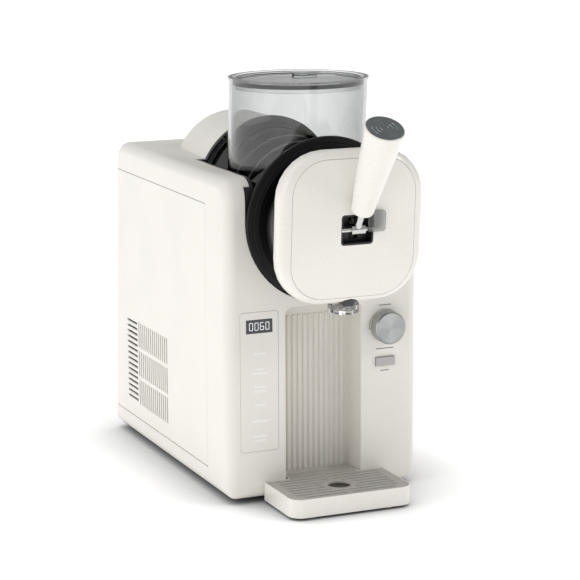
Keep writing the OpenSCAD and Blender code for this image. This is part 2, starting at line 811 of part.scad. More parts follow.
motor_shaft_r = 2;
module motor_pinion() color("silver") on_axis() translate([motor_x, 0, motor_z]) {
    gear(pinion_teeth, pinion_phase, idler_front, idler_front + gear_t);
    rod_y(motor_shaft_r, idler_front + gear_t - 1, motor_front + 8);
}

module gearbox_housing() color("#8C8F92") on_axis() difference() {
    union() {
        difference() {
            rod_y(gearbox_r, bulk_back, bulk_back + gearbox_len);
            rod_y(gearbox_r - 3, bulk_back - 1, bulk_back + gearbox_len - 3);
        }
        rod_y(idler_pin_r, bulk_back, bulk_back + gearbox_len - 1, 0, idler_dist);
    }
    rod_y(4, bulk_back + gearbox_len - 4, bulk_back + gearbox_len + 1, motor_x, motor_z);
}

module drive_motor() color("#6E7174") on_axis() difference() {
    union() {
        rod_y(motor_r, motor_front, motor_front + motor_len, motor_x, motor_z);
        rod_y(8, motor_front + motor_len - eps, motor_front + motor_len + 4, motor_x, motor_z);
    }
    rod_y(motor_shaft_r + run_fit, motor_front - 1, motor_front + 9, motor_x, motor_z);
}

// Ribbon that winds once about the drum for every pitch
ribbon_steps = 30;
ribbon_t = 5;
ribbon_y0 = drum_front + 1;
ribbon_y1 = barrel_back - 8;
module ribbon() {
    n = round(auger_turns*ribbon_steps);
    pts = [for (i = [0:n]) let (a = -i*360/ribbon_steps,
        y = ribbon_y0 + ribbon_t/2 + (ribbon_y1 - ribbon_y0 - ribbon_t)*i/n)
        each [for (k = [[auger_in, -1], [auger_r, -1], [auger_r, 1], [auger_in, 1]])
            [k[0]*cos(a), y + k[1]*ribbon_t/2, k[0]*sin(a)]]];
    faces = concat([[3, 2, 1, 0]], [[for (k = [0:3]) 4*n + k]],
        [for (i = [0:n - 1]) for (k = [0:3]) let (j = (k + 1) % 4)
            each [[4*i + k, 4*i + j, 4*i + 4 + j], [4*i + k, 4*i + 4 + j, 4*i + 4 + k]]]);
    polyhedron(pts, faces);
}

module auger() color("#3A3A3B") on_axis() union() {
    ribbon();
    tube_y(auger_r - 0.6, auger_in + 0.6, ribbon_y1 - 6, ribbon_y1 + 1);
    difference() {
        union() {
            tube_y(auger_r - 0.6, auger_in + 0.6, -6, ribbon_y0 + 3);
            rod_y(13, hub_front, -1);
            for (a = [0:60:120])
                rotate([0, a, 0]) box(-auger_in - 3, auger_in + 3, -5.5, -1.2, -4, 4);
            translate([0, hub_front, 0]) rotate([90, 0, 0]) cylinder(r1 = 13, r2 = 4, h = 6);
        }
        rod_y(shaft_r, hub_front + 4, 0);
    }
}

// ---- drip tray ------------------------------------------------------------

tongue_d = recess_d - 1;
function tray_outline(gap) = rounded([[-tray_w + gap, -tray_front + gap],
    [tray_w - gap, -tray_front + gap], [tray_w - gap, -0.6 - gap], [recess_in + 3 - gap, -0.6 - gap],
    [recess_in - 1 - gap, tongue_d - gap], [-recess_in + 1 + gap, tongue_d - gap],
    [-recess_in - 3 + gap, -0.6 - gap], [-tray_w + gap, -0.6 - gap]],
    [tray_r - gap, tray_r - gap, 0, 0, 0, 0, 0, 0], 8);

module drip_tray() color(cream) place() union() {
    difference() {
        translate([0, 0, tray_low]) linear_extrude(tray_top - tray_low) polygon(tray_outline(0));
        translate([0, 0, tray_low + tray_wall]) linear_extrude(tray_top)
            polygon(tray_outline(tray_wall));
        translate([0, 0, tray_top - grille_t]) linear_extrude(tray_top)
            polygon(tray_outline(1));
    }
    for (x = [-tray_w + 24, tray_w - 24], y = [-tray_front + 14, -14])
        translate([x, y, 0]) cylinder(r = 7, h = tray_low + eps);
}

slot_h = 2.6;
slot_pitch = 8.1;
module drip_grille() color(grey) place() difference() {
    translate([0, 0, tray_top - grille_t]) linear_extrude(grille_t)
        polygon(tray_outline(1 + free_gap));
    translate([0, -drain_y, 0]) cylinder(r = drain_r, h = 60);
    for (i = [0:slot_rows - 1]) {
        y = -tray_front + 8 + i*slot_pitch;
        reach = tray_w - (i == 0 ? 16 : 10);
        near = sqrt(max(0, pow(drain_r + 5, 2) - pow(y + drain_y, 2)));
        if (near > 0) {
            box(-reach, -near, y - slot_h/2, y + slot_h/2, 0, 60);
            box(near, reach, y - slot_h/2, y + slot_h/2, 0, 60);
        } else {
            box(-reach, -2, y - slot_h/2, y + slot_h/2, 0, 60);
            box(2, reach, y - slot_h/2, y + slot_h/2, 0, 60);
        }
    }
}

// ---- vessel and lid -------------------------------------------------------

module hopper_tube(inset, z0, z1) translate([0, hopper_y, z0]) linear_extrude(z1 - z0)
    polygon(oval(hopper_a - inset, hopper_b - inset));

// Level frame at the middle of the rim; further down, the wall lies further back
module at_rim(depth = 0) translate([0, hopper_y, hopper_h]) rotate([-tilt, 0, 0])
    translate([0, depth*tan(tilt), -depth]) children();

rim_lip = 1.3;
rim_t = 2;
module vessel() color(smoke) on_axis() difference() {
    union() {
        rod_y(barrel_r, -barrel_front, barrel_back);
        difference() {
            hopper_tube(0, 0, hopper_h + 7);
            at_rim() box(-90, 90, -90, 90, 0, 20);
        }
        at_rim(rim_t) linear_extrude(rim_t) polygon(oval(hopper_a + rim_lip, hopper_b + rim_lip));
    }
    rod_y(barrel_in, -barrel_front - 1, barrel_back + 1);
    hopper_tube(vessel_wall, 0, hopper_h + 20);
}

module front_gasket() color(black) on_axis() tube_y(gasket_r, barrel_r, -gasket_t, 0);

// Level oval of the lid, its heights counted from the top of the lid plate
lid_skirt = 8;
module lid_oval(inset, z0, z1) at_rim(lid_drop + 3) translate([0, 0, z0 + 3])
    linear_extrude(z1 - z0) polygon(oval(hopper_a - vessel_wall - lid_gap - inset,
        hopper_b - vessel_wall - lid_gap - inset));

module hopper_lid() color(clear) on_axis() union() {
    lid_oval(2, -lid_t, 0);
    difference() {
        lid_oval(2, -lid_skirt, -lid_t + eps);
        lid_oval(4.5, -lid_skirt - 1, 0);
    }
    difference() {
        lid_oval(2, -eps, lid_drop - 1);
        lid_oval(4, -1, lid_drop);
    }
    at_rim(lid_drop) translate([20, 30, -eps]) linear_extrude(lid_drop - 0.6)
        polygon(round_rect(13, 5, 4, 5));
}

module lid_gasket() color(black) on_axis() difference() {
    lid_oval(-0.2, -3.8, -0.2);
    lid_oval(2, -5, 1);
}

// ---- front cover ----------------------------------------------------------

// Ring of points on the cover: its outline inset, then scaled about the centre
function cover_ring(inset, scale, y) =
    [for (p = round_rect(cover_w - inset, cover_h - inset, cover_r - inset, 7))
        [scale*p.x, -y, cover_rise + scale*p.y]];

// Rounded rim that runs into the bulging face, shrunk by g
dome_slope = atan(2*face_bulge/(cover_h - rim_r));
rim_steps = 5;
dome_steps = 6;
module cover_form(g = 0) {
    r = rim_r - g;
    turn = (180 - dome_slope)/2/rim_steps;
    angles = [for (i = [0:2*rim_steps]) i*turn];
    edge = rim_r - r*sin(180 - dome_slope);
    front = cover_back + rim_r + rim_flat + r*cos(dome_slope);
    skin(concat([for (a = angles) cover_ring(rim_r - r*sin(a), 1,
            cover_back + rim_r + (a > 90 ? rim_flat : 0) - r*cos(a))],
        [for (i = [1:dome_steps]) let (s = 1 - i/(dome_steps + 0.5))
            cover_ring(edge, s, front + face_bulge*(1 - s*s))]));
}

module seam_prism(gap) translate([0, -cover_back, cover_rise]) rotate([90, 0, 0])
    linear_extrude(60) polygon(round_rect(cover_w - seam_inset - gap, cover_h - seam_inset + 4 - gap,
        cover_r - seam_inset - gap, 8));

module front_cover() color(cream) on_axis() difference() {
    cover_form();
    cover_form(cover_wall);
    translate([0, -cover_back + 1, 0]) rotate([90, 0, 0])
        cylinder(r = barrel_r - 6, h = cover_wall + 4);
    translate([0, 0, 0]) intersection() {
        seam_prism(0);
        box(-90, 90, -face_front - 1, -cover_back - rim_r, -90, 100);
    }
    translate([0, -valve_y, -90]) cylinder(r = nozzle_r + 1, h = 40);
}

box_back = valve_y + valve_out + 0.7;
module window_prism(grow, y0, y1) translate([0, y1, pivot_z]) rotate([90, 0, 0])
    linear_extrude(y1 - y0) polygon(round_rect(window_w/2 + grow, window_h/2 + grow, 3 + grow, 5));

module cover_face() color(cream) on_axis() difference() {
    intersection() {
        cover_form();
        seam_prism(0.35);
        box(-90, 90, -face_front - 1, -cover_back - rim_r, -90, 100);
    }
    cover_form(cover_wall);
    window_prism(0.2, -100, -20);
}

// Black box behind the window; the pin crosses it and the lever's arm leaves at its back
module pivot_box() color(black) on_axis() difference() {
    intersection() {
        window_prism(0, -100, -box_back);
        cover_form(0.3);
    }
    window_prism(-1.6, -100, -box_back - 1.6);
    box(-slot_w/2 - 1, slot_w/2 + 1, -box_back - 3, -box_back + 3, pivot_z - 11, pivot_z + 12.5);
    rod_x(pin_r, -window_w, window_w, -pivot_y, pivot_z);
}

// Pin with the pull tab by which it is drawn out
tab_y = face_front + 0.8;
module pivot_pin() color("silver") on_axis() {
    rod_x(pin_r, -window_w/2 + 0.1, window_w/2 - 0.1, -pivot_y, pivot_z);
    box(10, 14, -tab_y - 2, -pivot_y, pivot_z - pin_r, pivot_z + pin_r);
    translate([18.6, -tab_y, pivot_z + 8]) rotate([90, 0, 0]) linear_extrude(2)
        polygon(round_rect(8.6, 10.2, 3.2, 5));
}

// ---- valve ----------------------------------------------------------------

module valve_block() color("#1B1B1C") on_axis() difference() {
    union() {
        rod_y(barrel_r, -cover_back, -barrel_front - 0.6);
        translate([0, -valve_y, nozzle_top]) cylinder(r = valve_out, h = 24 - nozzle_top);
    }
    difference() {
        rod_y(barrel_in - 1, -cover_back + 3, 0);
        translate([0, -valve_y, -90]) cylinder(r = valve_out, h = 200);
    }
    translate([0, -valve_y, nozzle_top - 5]) cylinder(r = piston_r + run_fit, h = 120);
    rod_y(5.5, -valve_y, 0, 0, port_z);
    box(-slot_w/2 - 1, slot_w/2 + 1, -valve_y - valve_out - 2, -valve_y, pivot_z - 11, 40);
    box(-90, 90, -cover_back - 20, -cover_back - 1, -90, -68.5);
}

module nozzle() color(clear) on_axis() translate([0, -valve_y, nozzle_top - nozzle_h])
    difference() {
        cylinder(r = nozzle_r, h = nozzle_h);
        translate([0, 0, 3]) cylinder(r = nozzle_r - 2.5, h = nozzle_h);
        translate([0, 0, -1]) linear_extrude(6) polygon([for (i = [0:11])
            (i % 2 == 0 ? 8 : 4.5)*[cos(i*30), sin(i*30)]]);
    }

slot_w = 7.2;                           // clevis in the top of the piston
fork_pin_r = 2;
groove_low = piston_low + 1.5;
groove_high = piston_low + 20;
module valve_piston() color("#E4E2DC") on_axis() translate([0, -valve_y, 0]) {
    difference() {
        translate([0, 0, piston_low]) cylinder(r = piston_r, h = piston_high - piston_low);
        box(-slot_w/2, slot_w/2, -piston_r - 1, piston_r + 1, pivot_z - 11.5, piston_high + 1);
        for (z = [groove_low, groove_high])
            translate([0, 0, z]) difference() {
                cylinder(r = piston_r + 1, h = 2.4);
                cylinder(r = piston_r - 1.6, h = 2.4);
            }
    }
    rod_x(fork_pin_r, -slot_w/2 - 1, slot_w/2 + 1, 0, pivot_z);
}

module piston_rings() color(black) on_axis() translate([0, -valve_y, 0])
    for (z = [groove_low, groove_high])
        translate([0, 0, z + 0.1]) difference() {
            cylinder(r = piston_r - 0.05, h = 2.2);
            translate([0, 0, -1]) cylinder(r = piston_r - 1.6, h = 5);
        }

// ---- lever ----------------------------------------------------------------

module on_lever() on_axis() translate([0, -pivot_y, pivot_z]) rotate([lever_lean, 0, 0])
    children();

hub_r = pin_r + 2.6;
stem_r = 3.6;
arm_w = slot_w - 1.4;
arm_h = 3.2;
fork_slot = fork_pin_r + 1.3;           // the fork's play lets its slot slide along the arc
fork_h = fork_slot + 1.8;
module lever_stem() color("silver") union() {
    on_lever() translate([0, 0, 3]) cylinder(r = stem_r, h = grip_start + 22);
    on_axis() difference() {
        union() {
            rod_x(hub_r, -7, 7, -pivot_y, pivot_z);
            box(-arm_w/2, arm_w/2, -pivot_y, -valve_y - 4, pivot_z - arm_h, pivot_z + arm_h);
            box(-arm_w/2, arm_w/2, -valve_y - 6, -valve_y + 4.5, pivot_z - fork_h, pivot_z + fork_h);
        }
        box(-arm_w, arm_w, -valve_y - 4.5, -valve_y + 9, pivot_z - fork_slot, pivot_z + fork_slot);
        rod_x(pin_r + run_fit, -8, 8, -pivot_y, pivot_z);
    }
}

module lever_grip() color(cream) on_lever() difference() {
    translate([0, 0, grip_start]) rotate_extrude() polygon([[0, 0], [grip_r0 - 2.6, 0],
        [grip_r0 - 0.9, 0.8], [grip_r0, 2.8], [grip_r1, grip_len - 2], [grip_r1 - 0.5, grip_len],
        [0, grip_len]]);
    translate([0, 0, grip_start - 1]) cylinder(r = stem_r, h = 26);
    translate([0, 0, lever_top - 2.5]) cylinder(r = grip_r1 - 1.2, h = 10);
}

module lever_cap() color("#4A5052") on_lever() translate([0, 0, lever_top - 2.5]) union() {
    cylinder(r = grip_r1 - 1.2, h = 2.7);
    for (r = [4, 8, 12])
        difference() {
            cylinder(r = r + 0.4, h = 3.1);
            translate([0, 0, -1]) cylinder(r = r - 0.4, h = 9);
        }
}

main_housing();
side_panel_left();
side_panel_right();
rear_panel();
base_plate();
rubber_feet();
cradle_liner();
bulkhead();
hump_cover();
splash_back();
control_bezel();
display_window();
display_board();
main_board();
power_inlet();
compressor();
compressor_mounts();
condenser_coil();
fan_shroud();
fan_motor();
freezing_drum();
refrigerant_lines();
filter_drier();
drive_motor();
gearbox_housing();
shaft_bearing();
shaft_seal();
rear_gasket();
encoder_body();
mode_switch();
panel_screws();
fan_blades();
drive_shaft();
output_gear();
auger();
idler_gear();
motor_pinion();
encoder_shaft();
control_knob();
mode_button();
button_spring();
drip_tray();
drip_grille();
vessel();
front_gasket();
hopper_lid();
lid_gasket();
front_cover();
cover_face();
pivot_box();
valve_block();
nozzle();
pivot_pin();
lever_stem();
lever_grip();
lever_cap();
valve_piston();
piston_rings();
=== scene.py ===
import math

import bmesh
import bpy
from mathutils import Matrix, Quaternion, Vector


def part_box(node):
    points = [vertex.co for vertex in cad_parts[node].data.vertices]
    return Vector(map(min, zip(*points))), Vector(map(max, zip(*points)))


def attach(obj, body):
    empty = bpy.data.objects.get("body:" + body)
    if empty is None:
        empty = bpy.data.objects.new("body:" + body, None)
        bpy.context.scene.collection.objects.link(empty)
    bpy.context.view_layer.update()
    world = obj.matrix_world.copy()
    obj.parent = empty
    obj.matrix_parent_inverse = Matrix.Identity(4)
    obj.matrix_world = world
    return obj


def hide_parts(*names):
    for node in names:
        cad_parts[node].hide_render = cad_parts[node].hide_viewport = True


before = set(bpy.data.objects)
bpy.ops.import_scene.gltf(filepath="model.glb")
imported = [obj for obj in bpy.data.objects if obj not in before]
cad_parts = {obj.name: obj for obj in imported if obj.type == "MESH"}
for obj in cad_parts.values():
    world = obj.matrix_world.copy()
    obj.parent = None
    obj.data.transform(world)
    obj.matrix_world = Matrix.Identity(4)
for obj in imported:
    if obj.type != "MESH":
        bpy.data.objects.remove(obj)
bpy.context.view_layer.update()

bl_info = {
    "name": "Soft-serve ice cream maker",
    "version": (1, 0, 0),
    "blender": (4, 5, 0),
    "location": "View3D > Sidebar > Ice cream maker",
    "description": "Finishes the packed model of a countertop soft-serve ice cream maker",
    "category": "Object",
}

MM = 0.001

# Places that the frame gives, in metres
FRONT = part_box("control_bezel")[0].y        # front face of the body
KNOB_LOW, KNOB_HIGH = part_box("control_knob")
BUTTON_LOW, BUTTON_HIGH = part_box("mode_button")
LENS_LOW, LENS_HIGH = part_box("display_window")
BEZEL_LOW, BEZEL_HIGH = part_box("control_bezel")
GASKET_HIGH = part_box("front_gasket")[1]

# The barrel lies on an axis that dips to the front; the lever leans from that axis
TILT = math.radians(4.3)
LEAN = math.radians(25.7)
AXIS_Z = 279 * MM
PIVOT_Y = -77 * MM
PIVOT_Z = 7 * MM
HOPPER_Y = 69.5 * MM
HOPPER_H = 127.5 * MM
HOPPER_A = 68.5 * MM                        # half-width of the oval hopper
HOPPER_B = 66 * MM                          # half-length of the oval hopper
BARREL_R = 69 * MM
FACE_FRONT = 79.5 * MM                      # just in front of the cover's face
LID_A, LID_B = 62.9 * MM, 60.4 * MM         # half-width and half-length of the lid
ON_AXIS = (Matrix.Translation((0, FRONT, AXIS_Z)) @ Matrix.Rotation(TILT, 4, "X"))
ON_LEVER = ON_AXIS @ Matrix.Translation((0, PIVOT_Y, PIVOT_Z)) @ Matrix.Rotation(LEAN, 4, "X")
# The hopper stands on the axis, but its rim and lid are level
AT_RIM = (ON_AXIS @ Matrix.Translation((0, HOPPER_Y, HOPPER_H))
          @ Matrix.Rotation(-TILT, 4, "X"))
LID_DROP = 3 * MM
AT_LID = AT_RIM @ Matrix.Translation((0, 2 * LID_DROP * math.tan(TILT), -LID_DROP))
TO_FRONT = Matrix.Rotation(math.radians(90), 4, "X")      # turns +Z to face -Y


def to_linear(hex_colour):
    """sRGB hex, such as EFEBE2, as linear red, green, blue and alpha."""
    values = [int(hex_colour[i:i + 2], 16) / 255 for i in (0, 2, 4)]
    return (*[v / 12.92 if v <= 0.04045 else ((v + 0.055) / 1.055) ** 2.4 for v in values], 1.0)


def swatch(name, description, hex_colour):
    return bpy.props.FloatVectorProperty(name=name, description=description, size=4, min=0, max=1,
                                         subtype="COLOR", default=to_linear(hex_colour))


def length(name, description, default):
    return bpy.props.FloatProperty(name=name, description=description, default=default, min=0,
                                   precision=5, subtype="DISTANCE", unit="LENGTH")


class MachineColours(bpy.types.PropertyGroup):
    shell: swatch("Shell", "Cream of the moulded housing", "F1EEE7")
    cover: swatch("Cover", "Cream of the glossy front cover, lever and tray", "F3F0E9")
    # the splash back's cream darkened: painted shade for the recess it sits in
    recess: swatch("Recess", "Shaded cream of the ribbed splash back", "E3DFD7")
    grille: swatch("Grille", "Warm grey of the drip grille", "B9B6B0")
    smoke: swatch("Smoke", "Tint of the smoked barrel", "1E1F20")
    clear: swatch("Clear", "Tint of the clear hopper", "E9EAEA")
    lens: swatch("Lens", "Display lens", "2E3132")
    digits: swatch("Digits", "Lit segments of the display", "DDE2E4")
    marks: swatch("Marks", "Printed marks on the display panel", "FBFAF6")
    ink: swatch("Ink", "Printed marks round the controls", "77746E")
    button: swatch("Button", "Satin mode button", "BCB7B8")
    cap: swatch("Cap", "Gunmetal lever cap", "8A9092")


class MachineSizes(bpy.types.PropertyGroup):
    soft_edge: length("Soft edge", "Rounding of the housing's moulded edges", 0.5 * MM)
    fine_edge: length("Fine edge", "Rounding of small machined edges", 0.25 * MM)
    knob_radius: length("Knob radius", "Outer radius of the control knob",
                        (KNOB_HIGH.x - KNOB_LOW.x) / 2)
    knob_arc: length("Knob arc", "Radius of the printed arc round the knob", 16.8 * MM)
    grip_foot: length("Grip foot", "Radius of the lever grip at its foot", 11.0 * MM)
    grip_top: length("Grip top", "Radius of the lever grip at its cap", 19.2 * MM)
    grip_length: length("Grip length", "Length of the lever grip", 97 * MM)


# ---- finishes ---------------------------------------------------------------


def add(tree, kind, settings=None, inputs=None):
    """Adds a shader node, sets its settings, and gives each input a value or a link."""
    node = tree.nodes.new("ShaderNode" + kind)
    for key, value in (settings or {}).items():
        setattr(node, key, value)
    for key, value in (inputs or {}).items():
        if isinstance(value, bpy.types.NodeSocket):
            tree.links.new(value, node.inputs[key])
        else:
            node.inputs[key].default_value = value
    return node


def new_finish(name):
    """An empty node tree whose coordinates are the object's own, in metres."""
    material = bpy.data.materials.new(name)
    material.use_nodes = True
    tree = material.node_tree
    tree.nodes.clear()
    coords = add(tree, "TexCoord").outputs["Object"]
    return material, tree, coords


def grain_noise(tree, coords, size, detail=2.0):
    """Noise whose blobs are about size metres across."""
    return add(tree, "TexNoise", None, {"Vector": coords, "Scale": 1 / size, "Detail": detail}
               ).outputs["Fac"]


def colour_between(tree, factor, first, second):
    """A colour that drifts between two with the factor."""
    ramp = add(tree, "ValToRGB", None, {"Fac": factor})
    ramp.color_ramp.elements[0].position = 0.3
    ramp.color_ramp.elements[1].position = 0.7
    ramp.color_ramp.elements[0].color = first
    ramp.color_ramp.elements[1].color = second
    return ramp.outputs["Color"]


def shade(colour, factor):
    return (*[min(1, c * factor) for c in colour[:3]], 1.0)


def rough_range(tree, factor, low, high):
    return add(tree, "MapRange", None, {"Value": factor, "From Min": 0.3, "From Max": 0.7,
                                        "To Min": low, "To Max": high}).outputs["Result"]


def close(tree, surface):
    add(tree, "OutputMaterial", None, {"Surface": surface})


def moulded(name, colour, rough, grain, depth, drift=0.97, coat=0.0, ior=1.53):
    """Injection-moulded plastic: even colour, fine mould grain, slight change of gloss."""
    material, tree, coords = new_finish(name)
    broad = grain_noise(tree, coords, 60 * MM)
    fine = grain_noise(tree, coords, grain, 3.0)
    bump = add(tree, "Bump", None, {"Height": fine, "Strength": 1.0, "Distance": depth})
    shader = add(tree, "BsdfPrincipled", None, {
        "Base Color": colour_between(tree, broad, shade(colour, drift), colour),
        "Roughness": rough_range(tree, fine, rough - 0.04, rough + 0.04),
        "Normal": bump.outputs["Normal"], "IOR": ior, "Coat Weight": coat,
        "Coat Roughness": 0.12})
    close(tree, shader.outputs["BSDF"])
    return material


def metal(name, colour, rough, grain, depth, stretch=(1, 1, 1), drift=0.92):
    """Bare or plated metal: tool marks drawn out along one direction."""
    material, tree, coords = new_finish(name)
    drawn = add(tree, "Mapping", {"vector_type": "POINT"}, {"Vector": coords, "Scale": stretch})
    fine = grain_noise(tree, drawn.outputs["Vector"], grain, 3.0)
    broad = grain_noise(tree, coords, 25 * MM)
    bump = add(tree, "Bump", None, {"Height": fine, "Strength": 1.0, "Distance": depth})
    shader = add(tree, "BsdfPrincipled", None, {
        "Base Color": colour_between(tree, broad, shade(colour, drift), colour),
        "Metallic": 1.0, "Roughness": rough_range(tree, fine, rough - 0.05, rough + 0.05),
        "Normal": bump.outputs["Normal"]})
    close(tree, shader.outputs["BSDF"])
    return material


def clear_plastic(name, colour, edge, rough, ior=1.57):
    """Clear moulded copolyester: refracts, and looks darker where the eye grazes along its wall."""
    material, tree, coords = new_finish(name)
    wave = grain_noise(tree, coords, 18 * MM, 1.0)
    bump = add(tree, "Bump", None, {"Height": wave, "Strength": 0.3, "Distance": 0.05 * MM})
    facing = add(tree, "LayerWeight", None, {"Blend": 0.42}).outputs["Facing"]
    # inputs 6 and 7 are the colours of the mix, and output 2 its result
    tint = add(tree, "Mix", {"data_type": "RGBA"}, {
        0: facing, 6: colour, 7: colour_between(tree, wave, shade(edge, 0.97), edge)})
    shader = add(tree, "BsdfPrincipled", None, {
        "Base Color": tint.outputs[2], "Roughness": rough, "IOR": ior,
        "Transmission Weight": 1.0, "Normal": bump.outputs["Normal"]})
    close(tree, shader.outputs["BSDF"])
    return material


def spun_aluminium():
    """Spun and clear-anodised aluminium: rings of fine tool marks that fan the light out."""
    material, tree, _ = new_finish("spun_anodised_aluminium")
    uv = add(tree, "UVMap", {"uv_map": "turning"}).outputs["UV"]
    # real marks are 0.05 mm apart; drawn at 0.5 mm so that they show
    marks = add(tree, "TexNoise", None, {
        "Vector": add(tree, "Mapping", None, {"Vector": uv, "Scale": (6, 40, 1)}).outputs["Vector"],
        "Scale": 1.0, "Detail": 3.0}).outputs["Fac"]
    tangent = add(tree, "Tangent", {"direction_type": "UV_MAP", "uv_map": "turning"})
    bump = add(tree, "Bump", None, {"Height": marks, "Strength": 0.4, "Distance": 0.02 * MM})
    base = to_linear("B4B6B5")
    shader = add(tree, "BsdfPrincipled", None, {
        "Base Color": colour_between(tree, marks, shade(base, 0.93), base), "Metallic": 1.0,
        "Roughness": rough_range(tree, marks, 0.30, 0.38), "Anisotropic": 0.85,
        "Tangent": tangent.outputs["Tangent"], "Normal": bump.outputs["Normal"]})
    close(tree, shader.outputs["BSDF"])
    return material


def lit(name, colour, strength):
    """A lit segment: a diffusing plastic lit from behind."""
    material, tree, coords = new_finish(name)
    glow = grain_noise(tree, coords, 4 * MM)
    shader = add(tree, "BsdfPrincipled", None, {
        "Base Color": colour_between(tree, glow, shade(colour, 0.9), colour), "Roughness": 0.5,
        "Emission Color": colour, "Emission Strength": strength})
    close(tree, shader.outputs["BSDF"])
    return material


def circuit_board():
    """Glass-epoxy board under solder mask: green with pale copper tracks."""
    material, tree, coords = new_finish("solder_mask_circuit_board")
    cells = add(tree, "TexBrick", None, {
        "Vector": add(tree, "Mapping", None, {"Vector": coords, "Rotation": (0, 1.5708, 0.0)}
                      ).outputs["Vector"],
        "Color1": to_linear("1F5A36"), "Color2": to_linear("25683F"), "Mortar": to_linear("4D8A5E"),
        "Scale": 1 / (8 * MM), "Mortar Size": 0.03})
    bump = add(tree, "Bump", None, {"Height": cells.outputs["Fac"], "Strength": 1.0,
                                    "Distance": 0.03 * MM})
    shader = add(tree, "BsdfPrincipled", None, {"Base Color": cells.outputs["Color"],
                                                "Roughness": 0.35, "IOR": 1.5,
                                                "Normal": bump.outputs["Normal"]})
    close(tree, shader.outputs["BSDF"])
    return material


FINISH = {}


def make_finishes(colours):
    """Every material of the machine, by a short name."""
    # moulded ABS with a satin tool: soft, wide highlights
    FINISH["shell"] = moulded("satin_moulded_abs", colours.shell, 0.42, 0.7 * MM, 0.008 * MM)
    # ABS from a polished tool: tighter highlights on the handled parts
    FINISH["cover"] = moulded("polished_moulded_abs", colours.cover, 0.26, 1.2 * MM, 0.0015 * MM,
                              coat=0.25)
    # the same plastic darkened, as painted shade for the splash back that sits back in its recess
    FINISH["recess"] = moulded("satin_recess_abs", colours.recess, 0.45, 0.7 * MM, 0.008 * MM)
    # black ABS: satin, with a visible grain
    FINISH["black"] = moulded("black_moulded_abs", to_linear("131314"), 0.38, 0.7 * MM, 0.01 * MM)
    # polished dark collar: sharp reflections under a clear coat
    FINISH["dark"] = moulded("dark_polished_collar", to_linear("1C1D1E"), 0.16, 1.5 * MM,
                             0.002 * MM, coat=0.4)
    # moulded silicone: dull with a fine bloom
    FINISH["rubber"] = moulded("black_silicone_rubber", to_linear("101010"), 0.5, 0.5 * MM,
                               0.01 * MM, ior=1.41)
    # iron-red silicone: dull and even
    FINISH["silicone"] = moulded("red_silicone_seal", to_linear("A2452C"), 0.55, 0.5 * MM,
                                 0.01 * MM, ior=1.41)
    # waxy grey polypropylene: soft, low gloss
    FINISH["grille"] = moulded("grey_moulded_polypropylene", colours.grille, 0.4, 0.8 * MM,
                               0.008 * MM, ior=1.49)
    # turned or moulded acetal: slippery white with a low sheen
    FINISH["acetal"] = moulded("natural_acetal", to_linear("E9E6DF"), 0.32, 1.0 * MM, 0.004 * MM,
                               ior=1.48)
    # glass-filled nylon: rough, with fibres that break the surface
    FINISH["dark_plastic"] = moulded("dark_glass_filled_nylon", to_linear("2A2A2C"), 0.5,
                                     0.4 * MM, 0.02 * MM)
    # smoked acrylic: nearly black and mirror smooth
    FINISH["lens"] = moulded("smoked_acrylic_lens", colours.lens, 0.10, 3 * MM, 0.0005 * MM,
                             coat=0.5, ior=1.49)
    # painted button: even satin grey
    FINISH["button"] = moulded("satin_painted_button", colours.button, 0.34, 0.5 * MM, 0.004 * MM)
    # screen-printed inks: flat and matt
    FINISH["marks"] = moulded("white_screen_ink", colours.marks, 0.5, 0.3 * MM, 0.004 * MM)
    FINISH["ink"] = moulded("grey_screen_ink", colours.ink, 0.5, 0.3 * MM, 0.004 * MM)
    # segments lit from behind: they glow evenly
    FINISH["digits"] = lit("lit_display_segment", colours.digits, 0.55)
    # clear and smoked copolyester: glossy walls with darker edges; frosted on the small parts
    FINISH["smoke"] = clear_plastic("smoked_moulded_copolyester", colours.smoke,
                                    shade(colours.smoke, 0.6), 0.03)
    FINISH["clear"] = clear_plastic("clear_moulded_copolyester", colours.clear,
                                    shade(colours.clear, 0.18), 0.01)
    FINISH["tab"] = clear_plastic("frosted_moulded_copolyester", to_linear("C9CBCB"),
                                  to_linear("8C8E8E"), 0.25)
    # spun aluminium: rings that fan out the light
    FINISH["spun"] = spun_aluminium()
    # steels: polished pins, a brushed drum, dull zinc plate and black enamel
    FINISH["polished"] = metal("polished_stainless_steel", to_linear("D2D2D0"), 0.12, 0.4 * MM,
                               0.002 * MM, (1, 1, 0.1))
    FINISH["drum"] = metal("brushed_stainless_drum", to_linear("C6C8C8"), 0.28, 0.4 * MM,
                           0.01 * MM, (1, 0.08, 1))
    FINISH["zinc"] = metal("zinc_plated_steel", to_linear("B9BBB8"), 0.35, 0.6 * MM, 0.006 * MM)
    FINISH["black_steel"] = metal("black_enamelled_steel", to_linear("1A1A1B"), 0.32, 0.8 * MM,
                                  0.01 * MM)
    # mill-finish aluminium, drawn copper and porous bronze of the inner parts
    FINISH["fin"] = metal("mill_finish_aluminium_fin", to_linear("BFC2C4"), 0.32, 0.5 * MM,
                          0.006 * MM, (1, 1, 0.1))
    FINISH["copper"] = metal("drawn_copper_pipe", to_linear("B9704A"), 0.26, 0.5 * MM, 0.004 * MM)
    FINISH["bronze"] = metal("sintered_bronze_bush", to_linear("A8834C"), 0.42, 0.3 * MM,
                             0.02 * MM)
    # brushed gunmetal: fine straight marks across the cap
    FINISH["gunmetal"] = metal("brushed_gunmetal_cap", colours.cap, 0.3, 0.35 * MM, 0.006 * MM,
                               (1, 0.08, 1))
    # green solder mask over copper tracks
    FINISH["board"] = circuit_board()


# ---- mesh helpers -----------------------------------------------------------


